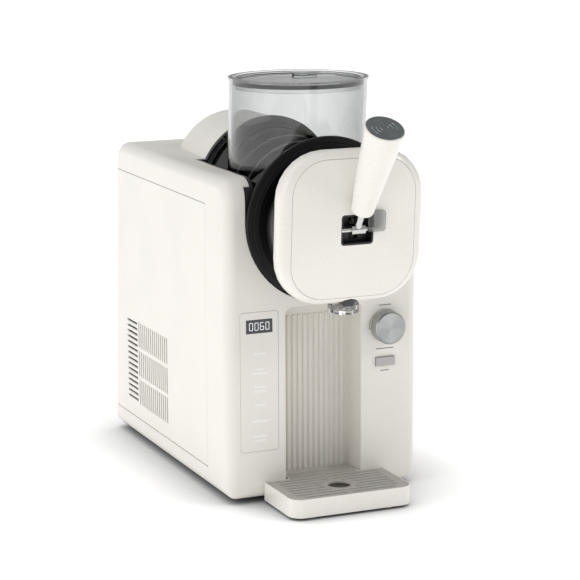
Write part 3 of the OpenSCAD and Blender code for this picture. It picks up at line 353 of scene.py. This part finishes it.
def publish(bm, name, node, body, finish, sharp=35, at=None, bevel=0.0, weighted=True):
    """Turns a bmesh into a piece that rides on its body and stands for its CAD node."""
    if at is not None:
        bmesh.ops.transform(bm, matrix=at, verts=bm.verts)
    mesh = bpy.data.meshes.new(name)
    bm.to_mesh(mesh)
    bm.free()
    piece = bpy.data.objects.new(name, mesh)
    bpy.context.scene.collection.objects.link(piece)
    mesh.materials.append(FINISH[finish])
    mesh.shade_smooth()
    mesh.set_sharp_from_angle(angle=math.radians(sharp))
    if bevel:
        edge = piece.modifiers.new("soft_edge", "BEVEL")
        edge.width = bevel
        edge.segments = 2
        edge.limit_method = "ANGLE"
        edge.angle_limit = math.radians(sharp)
        edge.use_clamp_overlap = True
    if weighted:
        normals = piece.modifiers.new("even_shading", "WEIGHTED_NORMAL")
        normals.keep_sharp = True
    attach(piece, body)
    if node:
        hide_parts(node)
    return piece


def refined(node, body, finish, bevel=0.0, sharp=32):
    """A copy of a CAD node's mesh, merged, with its moulded edges rounded."""
    bm = bmesh.new()
    bm.from_mesh(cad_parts[node].data)
    bmesh.ops.remove_doubles(bm, verts=bm.verts, dist=0.002 * MM)
    return publish(bm, node + "_finished", node, body, finish, sharp, bevel=bevel)


def dress(finish, *nodes):
    """Gives CAD nodes that stay as they are their material."""
    for node in nodes:
        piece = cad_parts[node]
        piece.data.materials.clear()
        piece.data.materials.append(FINISH[finish])


def turned(profile, steps=96, uv=False):
    """A bmesh turned about Z from (radius, height) points that start and end on the axis."""
    bm = bmesh.new()
    chain = [bm.verts.new((r, 0, z)) for r, z in profile]
    edges = [bm.edges.new(pair) for pair in zip(chain, chain[1:])]
    bmesh.ops.spin(bm, geom=chain + edges, axis=(0, 0, 1), cent=(0, 0, 0), steps=steps,
                   angle=math.tau, use_merge=True)
    bmesh.ops.remove_doubles(bm, verts=bm.verts, dist=1e-6)
    bmesh.ops.recalc_face_normals(bm, faces=bm.faces)
    if uv:
        layer = bm.loops.layers.uv.new("turning")
        for face in bm.faces:
            middle = face.calc_center_median()
            centre = math.atan2(middle.y, middle.x) / math.tau
            for loop in face.loops:
                p = loop.vert.co
                u = math.atan2(p.y, p.x) / math.tau if p.to_2d().length > 1e-6 else centre
                u += round(centre - u)
                loop[layer].uv = (u, (p.to_2d().length + p.z) / (20 * MM))
    return bm


def plate(width, height, radius, thick, segments=6, soft=0.0):
    """A rounded plate in XY, its back on Z = 0."""
    bm = bmesh.new()
    bmesh.ops.create_cube(bm, size=1.0)
    bmesh.ops.transform(bm, matrix=Matrix.Diagonal((width, height, thick, 1)), verts=bm.verts)
    bmesh.ops.translate(bm, vec=(0, 0, thick / 2), verts=bm.verts)
    if radius:
        upright = [e for e in bm.edges if abs(e.verts[0].co.z - e.verts[1].co.z) > thick / 2]
        bmesh.ops.bevel(bm, geom=upright, offset=radius, affect="EDGES", segments=segments,
                        profile=0.5, material=-1)
    if soft:
        top = [e for e in bm.edges if all(v.co.z > thick * 0.99 for v in e.verts)]
        bmesh.ops.bevel(bm, geom=top, offset=soft, affect="EDGES", segments=2, profile=0.5,
                        material=-1)
    return bm


def absorb(target, other, matrix=None):
    """Moves other's mesh into target."""
    if matrix is not None:
        bmesh.ops.transform(other, matrix=matrix, verts=other.verts)
    mesh = bpy.data.meshes.new("part")
    other.to_mesh(mesh)
    other.free()
    target.from_mesh(mesh)
    bpy.data.meshes.remove(mesh)


def ring_strip(radius, wide, start, end, thick, steps=48):
    """A thin flat arc in XY, drawn by spinning a small square."""
    bm = bmesh.new()
    corners = [bm.verts.new((radius + x, 0, z)) for x, z in
               ((-wide / 2, 0), (wide / 2, 0), (wide / 2, thick), (-wide / 2, thick))]
    face = bm.faces.new(corners)
    bmesh.ops.rotate(bm, cent=(0, 0, 0), matrix=Matrix.Rotation(math.radians(start), 3, "Z"),
                     verts=bm.verts)
    bmesh.ops.spin(bm, geom=[face, *face.edges, *face.verts], axis=(0, 0, 1), cent=(0, 0, 0),
                   steps=steps, angle=math.radians(end - start), use_duplicate=False)
    bmesh.ops.recalc_face_normals(bm, faces=bm.faces)
    return bm


# ---- operators --------------------------------------------------------------


class MACHINE_OT_finishes(bpy.types.Operator):
    """Make every material of the machine"""
    bl_idname = "machine.finishes"
    bl_label = "Finishes"
    bl_options = {"REGISTER", "UNDO"}

    def execute(self, context):
        make_finishes(context.scene.machine_colours)
        return {"FINISHED"}


class MACHINE_OT_stage(bpy.types.Operator):
    """Floor, studio light and camera"""
    bl_idname = "machine.stage"
    bl_label = "Stage"
    bl_options = {"REGISTER", "UNDO"}

    def execute(self, context):
        scene = context.scene
        scene.view_settings.view_transform = "Standard"
        camera = bpy.data.objects.new("studio_camera", bpy.data.cameras.new("studio_camera"))
        scene.collection.objects.link(camera)
        scene.camera = camera
        turn, rise, roll = (math.radians(degrees) for degrees in (-23.474, 11.621, -0.227))
        target = Vector((-26.645 * MM, FRONT, 204.94 * MM))
        distance = 2.1306
        back = Vector((math.sin(turn) * math.cos(rise), -math.cos(turn) * math.cos(rise),
                       math.sin(rise)))
        camera.location = target + back * distance
        camera.rotation_mode = "QUATERNION"
        camera.rotation_quaternion = ((-back).to_track_quat("-Z", "Y")
                                      @ Quaternion((0, 0, 1), roll))
        camera.data.lens = 136.2
        camera.data.sensor_width = 36
        camera.data.shift_x = -0.0147
        camera.data.shift_y = 0.0093
        camera.data.clip_end = 60

        bm = bmesh.new()
        bmesh.ops.create_grid(bm, x_segments=8, y_segments=8, size=7)
        mesh = bpy.data.meshes.new("studio_floor")
        bm.to_mesh(mesh)
        bm.free()
        floor = bpy.data.objects.new("studio_floor", mesh)
        scene.collection.objects.link(floor)
        # matt white paper sweep, lit a little from below so that it stays white
        material, tree, coords = new_finish("white_paper_sweep")
        fibre = grain_noise(tree, coords, 30 * MM)
        white = colour_between(tree, fibre, to_linear("EEEEEE"), to_linear("F1F1F1"))
        # painted contact shadow: ambient occlusion darkens the paper's colour and its glow where
        # the machine stands close over it
        under = add(tree, "AmbientOcclusion", {"samples": 8}, {"Distance": 0.09})
        painted_contact_shadow = add(tree, "Math", {"operation": "POWER"}, {0: under.outputs["AO"], 1: 1.0})
        paper = add(tree, "BsdfPrincipled", None, {
            "Base Color": add(tree, "VectorMath", {"operation": "SCALE"}, {
                0: white, "Scale": painted_contact_shadow.outputs["Value"]}).outputs["Vector"],
            "Roughness": 0.9, "Specular IOR Level": 0.0,
            "Emission Color": add(tree, "CombineColor", None, {
                "Red": painted_contact_shadow.outputs["Value"], "Green": painted_contact_shadow.outputs["Value"],
                "Blue": painted_contact_shadow.outputs["Value"]}).outputs["Color"],
            "Emission Strength": 0.56})
        close(tree, paper.outputs["BSDF"])
        mesh.materials.append(material)

        world = bpy.data.worlds.new("studio_white")
        scene.world = world
        world.use_nodes = True
        tree = world.node_tree
        tree.nodes.clear()
        path = add(tree, "LightPath")
        seen = add(tree, "Math", {"operation": "MAXIMUM"}, {
            0: path.outputs["Is Camera Ray"], 1: path.outputs["Is Transmission Ray"]})
        glow = add(tree, "MapRange", None, {"Value": seen.outputs["Value"], "To Min": 0.42,
                                            "To Max": 1.05})
        sky = add(tree, "Background", None, {"Color": (1, 1, 1, 1),
                                             "Strength": glow.outputs["Result"]})
        add(tree, "OutputWorld", None, {"Surface": sky.outputs["Background"]})

        # wide softboxes far off: one low on the left, one overhead and one high on the right
        for name, direction, strength, size in (
                ("left_softbox", (-0.92, -0.16, 0.30), 0.66, 34),
                ("top_softbox", (-0.45, 0.40, 0.80), 0.62, 40),
                ("right_softbox", (0.68, -0.48, 0.50), 0.55, 20)):
            light = bpy.data.objects.new(name, bpy.data.lights.new(name, "SUN"))
            scene.collection.objects.link(light)
            light.data.energy = strength
            light.data.angle = math.radians(size)
            light.rotation_mode = "QUATERNION"
            light.rotation_quaternion = Vector(direction).to_track_quat("Z", "Y")
        return {"FINISHED"}


class MACHINE_OT_housing(bpy.types.Operator):
    """Moulded housing, its panels, the rear hump and the foot plate"""
    bl_idname = "machine.housing"
    bl_label = "Housing"
    bl_options = {"REGISTER", "UNDO"}

    def execute(self, context):
        sizes = context.scene.machine_sizes
        for node in ("main_housing", "side_panel_left", "side_panel_right", "rear_panel",
                     "hump_cover"):
            refined(node, "machine", "shell", sizes.soft_edge)
        # the splash back in the darkened cream: painted shade of its recess
        refined("splash_back", "machine", "recess", sizes.soft_edge)
        refined("control_bezel", "machine", "shell", sizes.fine_edge)
        refined("base_plate", "machine", "dark_plastic", sizes.fine_edge)
        refined("rubber_feet", "machine", "rubber", sizes.soft_edge)
        refined("power_inlet", "machine", "black", sizes.fine_edge)
        refined("panel_screws", "machine", "zinc")

        # black plates behind the vents of both sides: painted shade that makes the slots look dark
        shade_plates = bmesh.new()
        for side in (-1, 1):
            screen = plate(131 * MM, 104 * MM, 3 * MM, 0.8 * MM, 3)
            absorb(shade_plates, screen,
                   Matrix.Translation((side * 98.9 * MM, FRONT + 229 * MM, 91 * MM))
                   @ Matrix.Rotation(math.radians(90), 4, "Z") @ TO_FRONT)
        publish(shade_plates, "vent_shade_plates", None, "machine", "black")
        return {"FINISHED"}


class MACHINE_OT_cradle(bpy.types.Operator):
    """Black channel under the barrel, the bulkhead and the rear gasket"""
    bl_idname = "machine.cradle"
    bl_label = "Cradle"
    bl_options = {"REGISTER", "UNDO"}

    def execute(self, context):
        sizes = context.scene.machine_sizes
        refined("cradle_liner", "machine", "black", sizes.soft_edge)
        refined("bulkhead", "machine", "black", sizes.soft_edge)
        refined("rear_gasket", "machine", "dark", sizes.soft_edge)
        return {"FINISHED"}


def digit_strokes(digit):
    """The lit strokes of a seven-segment digit, each (x, z, upright), in half widths."""
    places = {"a": (0, 2, False), "b": (1, 1, True), "c": (1, -1, True), "d": (0, -2, False),
              "e": (-1, -1, True), "f": (-1, 1, True), "g": (0, 0, False)}
    lit_by = {"0": "abcdef", "1": "bc", "2": "abged", "3": "abgcd", "4": "fgbc", "5": "afgcd",
              "6": "afgedc", "8": "abcdefg"}
    return [places[s] for s in lit_by[digit]]


class MACHINE_OT_display(bpy.types.Operator):
    """Display lens with lit digits, and the printed marks under it"""
    bl_idname = "machine.display"
    bl_label = "Display"
    bl_options = {"REGISTER", "UNDO"}

    reading: bpy.props.StringProperty(name="Reading", description="Digits that are lit",
                                      default="0060", maxlen=4)

    def execute(self, context):
        sizes = context.scene.machine_sizes
        refined("display_window", "machine", "lens", sizes.fine_edge)
        digit_h, digit_w, stroke, pitch = 7.2 * MM, 3.4 * MM, 0.62 * MM, 5.7 * MM
        face = BEZEL_LOW.y + 0.16 * MM
        middle = Vector(((LENS_LOW.x + LENS_HIGH.x) / 2, face, (LENS_LOW.z + LENS_HIGH.z) / 2))
        digits = bmesh.new()
        for i, digit in enumerate(self.reading):
            for x, z, upright in digit_strokes(digit):
                long = (digit_h / 2 if upright else digit_w) - stroke * 0.35
                bar = plate(stroke if upright else long, long if upright else stroke,
                            stroke * 0.3, 0.12 * MM, 2)
                place = middle + Vector(((i - 1.5) * pitch + x * digit_w / 2, 0, z * digit_h / 4))
                absorb(digits, bar, Matrix.Translation(place) @ TO_FRONT)
        publish(digits, "display_digits", None, "machine", "digits", weighted=False)

        # one printed bar, or two, for each of the six programmes
        marks = bmesh.new()
        left = BEZEL_LOW.x + 20.3 * MM
        for z, widths in ((-41.4, (12.5,)), (-56.7, (7.5, 16)), (-74.5, (12, 12.5)),
                          (-92.3, (11,)), (-108.8, (18,)), (-124, (14.5, 12))):
            for row, wide in enumerate(widths):
                bar = plate(wide * MM, 1.8 * MM, 0.6 * MM, 0.08 * MM, 3)
                place = Vector((left, BEZEL_LOW.y + 0.02 * MM,
                                BEZEL_HIGH.z + z * MM - row * 4.3 * MM))
                absorb(marks, bar, Matrix.Translation(place) @ TO_FRONT)
        publish(marks, "programme_marks", None, "machine", "marks", weighted=False)
        return {"FINISHED"}


class MACHINE_OT_knob(bpy.types.Operator):
    """Spun aluminium knob and the printed arc round it"""
    bl_idname = "machine.knob"
    bl_label = "Knob"
    bl_options = {"REGISTER", "UNDO"}

    def execute(self, context):
        sizes = context.scene.machine_sizes
        r = sizes.knob_radius
        deep = KNOB_HIGH.y - KNOB_LOW.y
        centre = Vector(((KNOB_LOW.x + KNOB_HIGH.x) / 2, KNOB_HIGH.y,
                         (KNOB_LOW.z + KNOB_HIGH.z) / 2))
        # the face is dished a little, with a bright chamfer
        knob = turned([(0, 0), (r - 1.2 * MM, 0), (r - 0.7 * MM, 0.4 * MM), (r, 0.6 * MM),
                       (r, deep - 1.1 * MM), (r - 0.25 * MM, deep - 0.6 * MM),
                       (r - 0.9 * MM, deep), (r - 1.3 * MM, deep), (r - 1.6 * MM, deep - 0.25 * MM),
                       (r * 0.6, deep - 0.5 * MM), (r * 0.3, deep - 0.6 * MM),
                       (0, deep - 0.62 * MM)], 128, uv=True)
        publish(knob, "spun_knob", "control_knob", "knob", "spun", 25,
                Matrix.Translation(centre) @ TO_FRONT, weighted=False)

        arc = ring_strip(sizes.knob_arc, 0.4 * MM, 40, 186, 0.06 * MM)
        for angle in (40, 186):
            tick = plate(1.7 * MM, 0.5 * MM, 0, 0.06 * MM)
            absorb(arc, tick, Matrix.Rotation(math.radians(angle), 4, "Z")
                   @ Matrix.Translation((sizes.knob_arc, 0, 0)))
        for y, wide in ((21.3, 13.5), (-22.8, 19.5)):
            bar = plate(wide * MM, 0.9 * MM, 0.4 * MM, 0.06 * MM, 3)
            absorb(arc, bar, Matrix.Translation((0, y * MM, 0)))
        bar = plate(9 * MM, 0.9 * MM, 0.4 * MM, 0.06 * MM, 3)
        below = (BUTTON_LOW.z + BUTTON_HIGH.z) / 2 - centre.z - 9.4 * MM
        absorb(arc, bar, Matrix.Translation((0, below, 0)))
        on_face = Vector((centre.x, FRONT + 0.02 * MM, centre.z))
        publish(arc, "control_marks", None, "machine", "ink", 30,
                Matrix.Translation(on_face) @ TO_FRONT, weighted=False)
        return {"FINISHED"}


class MACHINE_OT_mode_button(bpy.types.Operator):
    """Mode button with softened edges"""
    bl_idname = "machine.mode_button"
    bl_label = "Mode button"
    bl_options = {"REGISTER", "UNDO"}

    def execute(self, context):
        refined("mode_button", "mode_key", "button", context.scene.machine_sizes.soft_edge)
        return {"FINISHED"}


class MACHINE_OT_drip_tray(bpy.types.Operator):
    """Drip tray and its slotted grille"""
    bl_idname = "machine.drip_tray"
    bl_label = "Drip tray"
    bl_options = {"REGISTER", "UNDO"}

    def execute(self, context):
        sizes = context.scene.machine_sizes
        refined("drip_tray", "tray", "cover", 0.7 * MM)
        refined("drip_grille", "grille", "grille", sizes.soft_edge)
        return {"FINISHED"}


class MACHINE_OT_vessel(bpy.types.Operator):
    """Clear hopper on its smoked barrel, with the front gasket"""
    bl_idname = "machine.vessel"
    bl_label = "Vessel"
    bl_options = {"REGISTER", "UNDO"}

    def execute(self, context):
        piece = refined("vessel", "vessel_unit", "clear", sharp=180)
        piece.data.materials.append(FINISH["smoke"])
        piece.modifiers.clear()
        smooth_vessel(piece.data)

        t = GASKET_HIGH.x / MM
        profile = [(69.05, 0), (t - 0.7, 0), (t, 0.7), (t, 3.3), (t - 0.7, 4), (75.4, 4),
                   (75, 3.6), (74.4, 3.6), (74, 4), (69.05, 4)]
        ring = ring_section(profile, 128)
        publish(ring, "front_gasket_ring", "front_gasket", "vessel_unit", "rubber", 30,
                ON_AXIS @ TO_FRONT)
        return {"FINISHED"}


def smooth_vessel(mesh):
    """True normals for the curved walls of barrel and hopper, and the barrel's tint."""
    back = ON_AXIS.inverted()
    turn = ON_AXIS.to_3x3()
    middle = Vector((0, HOPPER_Y, 0))
    reach = BARREL_R + 0.3 * MM
    normals = [Vector((0, 0, 0))] * len(mesh.loops)
    for face in mesh.polygons:
        own = back.to_3x3() @ face.normal
        centre = back @ face.center
        on_barrel = math.hypot(centre.x, centre.z) < reach and abs(own.y) < 0.3
        radial = Vector((centre.x, 0, centre.z)).normalized()
        barrel_wall = on_barrel and abs(own.dot(radial)) > 0.97
        face.material_index = 1 if math.hypot(centre.x, centre.z) < reach else 0
        for i in face.loop_indices:
            p = back @ mesh.vertices[mesh.loops[i].vertex_index].co
            true = own
            if barrel_wall:
                true = Vector((p.x, 0, p.z)).normalized()
            elif abs(own.z) < 0.3:
                q = p - middle
                true = Vector((q.x / HOPPER_A ** 2, q.y / HOPPER_B ** 2, 0)).normalized()
            if abs(true.dot(own)) < 0.9:
                true = own
            elif true.dot(own) < 0:
                true = -true
            normals[i] = (turn @ true).normalized()
    mesh.normals_split_custom_set(normals)


def ring_section(profile, steps):
    """A bmesh turned about Z from a closed section that stays off the axis, in millimetres."""
    bm = bmesh.new()
    corners = [bm.verts.new((r * MM, 0, z * MM)) for r, z in profile]
    edges = [bm.edges.new(pair) for pair in zip(corners, corners[1:] + corners[:1])]
    bmesh.ops.spin(bm, geom=corners + edges, axis=(0, 0, 1), cent=(0, 0, 0), steps=steps,
                   angle=math.tau, use_merge=True)
    bmesh.ops.remove_doubles(bm, verts=bm.verts, dist=1e-6)
    bmesh.ops.recalc_face_normals(bm, faces=bm.faces)
    return bm


class MACHINE_OT_lid(bpy.types.Operator):
    """Clear lid and its gasket"""
    bl_idname = "machine.lid"
    bl_label = "Lid"
    bl_options = {"REGISTER", "UNDO"}

    def execute(self, context):
        # half the lid's width is its radius; the oval is narrower from front to back
        oval = AT_LID @ Matrix.Diagonal((1, LID_B / LID_A, 1, 1))
        lid = turned([(r * MM, z * MM) for r, z in (
            (0, -2.5), (59.9, -2.5), (60.4, -3), (60.4, -7.7), (60.7, -8), (62.6, -8),
            (62.9, -7.7), (62.9, 1.4), (62.3, 2), (61.5, 2), (60.9, 1.4), (60.9, 0.5),
            (60.4, 0), (0, 0))], 128)
        bmesh.ops.transform(lid, matrix=oval, verts=lid.verts)
        absorb(lid, plate(26 * MM, 10 * MM, 3.9 * MM, 2.4 * MM, 5, 0.5 * MM),
               AT_LID @ Matrix.Translation((20 * MM, 30 * MM, 0)))
        publish(lid, "hopper_lid_turned", "hopper_lid", "lid", "clear", 30)
        seal = ring_section([(62.95, -3.8), (64.8, -3.8), (65.1, -3.4), (65.1, -0.6),
                             (64.8, -0.2), (62.95, -0.2)], 128)
        publish(seal, "lid_gasket_turned", "lid_gasket", "lid", "rubber", 30, oval)
        return {"FINISHED"}


class MACHINE_OT_cover(bpy.types.Operator):
    """Front cover, its face, the pivot box and the pull pin"""
    bl_idname = "machine.cover"
    bl_label = "Front cover"
    bl_options = {"REGISTER", "UNDO"}

    def execute(self, context):
        sizes = context.scene.machine_sizes
        refined("front_cover", "head", "cover", sizes.fine_edge)
        refined("cover_face", "head", "cover", sizes.fine_edge)
        refined("pivot_box", "head", "black", sizes.fine_edge)
        pin = refined("pivot_pin", "head", "polished")
        pin.data.materials.append(FINISH["tab"])
        to_axis = ON_AXIS.inverted()
        for face in pin.data.polygons:
            # the pull tab stands in front of the face, the pin behind it
            face.material_index = int((to_axis @ face.center).y < -FACE_FRONT)
        refined("valve_block", "head", "dark", sizes.fine_edge)
        refined("nozzle", "head", "clear", sizes.fine_edge)
        return {"FINISHED"}


class MACHINE_OT_lever(bpy.types.Operator):
    """Dispensing lever: grip, ringed cap and steel stem"""
    bl_idname = "machine.lever"
    bl_label = "Lever"
    bl_options = {"REGISTER", "UNDO"}

    def execute(self, context):
        sizes = context.scene.machine_sizes
        r0, r1, long = sizes.grip_foot, sizes.grip_top, sizes.grip_length
        start = 21 * MM
        top = start + long
        grip = turned([(0, start), (r0 - 3.4 * MM, start), (r0 - 1.8 * MM, start + 0.3 * MM),
                       (r0 - 0.6 * MM, start + 1.2 * MM), (r0, start + 3 * MM),
                       (r1, top - 2 * MM), (r1 - 0.1 * MM, top - 1 * MM),
                       (r1 - 0.5 * MM, top - 0.2 * MM), (r1 - 0.9 * MM, top),
                       (r1 - 1.15 * MM, top), (r1 - 1.25 * MM, top - 0.5 * MM),
                       (0, top - 0.6 * MM)],
                      96)
        publish(grip, "lever_grip_finished", "lever_grip", "lever", "cover", 40, ON_LEVER)
        base = top - 2.5 * MM
        cap = [(0, 0), (r1 / MM - 1.3, 0), (r1 / MM - 1.3, 2.3), (r1 / MM - 1.7, 2.7)]
        for r in (12, 8, 4):
            cap += [(r + 0.7, 2.7), (r + 0.4, 3.1), (r - 0.4, 3.1), (r - 0.7, 2.7)]
        cap += [(0, 2.7)]
        publish(turned([(r * MM, base + z * MM) for r, z in cap], 96), "lever_cap_ringed",
                "lever_cap", "lever", "gunmetal", 25, ON_LEVER)
        refined("lever_stem", "lever", "polished", sizes.fine_edge)
        return {"FINISHED"}


class MACHINE_OT_freezing(bpy.types.Operator):
    """Freezing drum, auger, shaft and the drive behind them"""
    bl_idname = "machine.freezing"
    bl_label = "Drum and drive"
    bl_options = {"REGISTER", "UNDO"}

    def execute(self, context):
        refined("freezing_drum", "machine", "drum", 0.4 * MM)
        refined("auger", "auger_train", "dark_plastic")
        refined("drive_shaft", "auger_train", "polished", 0.3 * MM)
        dress("acetal", "output_gear", "idler_gear", "valve_piston")
        dress("zinc", "motor_pinion", "encoder_shaft", "button_spring", "encoder_body")
        dress("bronze", "shaft_bearing")
        dress("silicone", "shaft_seal")
        dress("rubber", "piston_rings")
        dress("fin", "gearbox_housing")
        dress("zinc", "drive_motor")
        return {"FINISHED"}


class MACHINE_OT_cooling(bpy.types.Operator):
    """Compressor, condenser, fan and refrigerant lines"""
    bl_idname = "machine.cooling"
    bl_label = "Cooling"
    bl_options = {"REGISTER", "UNDO"}

    def execute(self, context):
        dress("black_steel", "compressor")
        dress("rubber", "compressor_mounts")
        dress("fin", "condenser_coil")
        dress("dark_plastic", "fan_shroud", "fan_motor", "fan_blades", "mode_switch")
        dress("copper", "refrigerant_lines", "filter_drier")
        dress("board", "display_board", "main_board")
        return {"FINISHED"}


STEPS = (MACHINE_OT_finishes, MACHINE_OT_stage, MACHINE_OT_housing, MACHINE_OT_cradle,
         MACHINE_OT_display, MACHINE_OT_knob, MACHINE_OT_mode_button, MACHINE_OT_drip_tray,
         MACHINE_OT_vessel, MACHINE_OT_lid, MACHINE_OT_cover, MACHINE_OT_lever,
         MACHINE_OT_freezing, MACHINE_OT_cooling)


class MACHINE_PT_sidebar(bpy.types.Panel):
    """Lists the machine's colours, sizes and steps"""
    bl_idname = "MACHINE_PT_sidebar"
    bl_label = "Ice cream maker"
    bl_space_type = "VIEW_3D"
    bl_region_type = "UI"
    bl_category = "Ice cream maker"

    def draw(self, context):
        for group in (context.scene.machine_colours, context.scene.machine_sizes):
            box = self.layout.box()
            for key in group.__annotations__:
                box.prop(group, key)
        for step in STEPS:
            self.layout.operator(step.bl_idname)


CLASSES = (MachineColours, MachineSizes, *STEPS, MACHINE_PT_sidebar)


def register():
    for cls in CLASSES:
        bpy.utils.register_class(cls)
    bpy.types.Scene.machine_colours = bpy.props.PointerProperty(type=MachineColours)
    bpy.types.Scene.machine_sizes = bpy.props.PointerProperty(type=MachineSizes)


def unregister():
    del bpy.types.Scene.machine_sizes
    del bpy.types.Scene.machine_colours
    for cls in reversed(CLASSES):
        bpy.utils.unregister_class(cls)


def main():
    register()
    for step in STEPS:
        group, name = step.bl_idname.split(".")
        getattr(getattr(bpy.ops, group), name)()


if __name__ == "__main__":
    main()
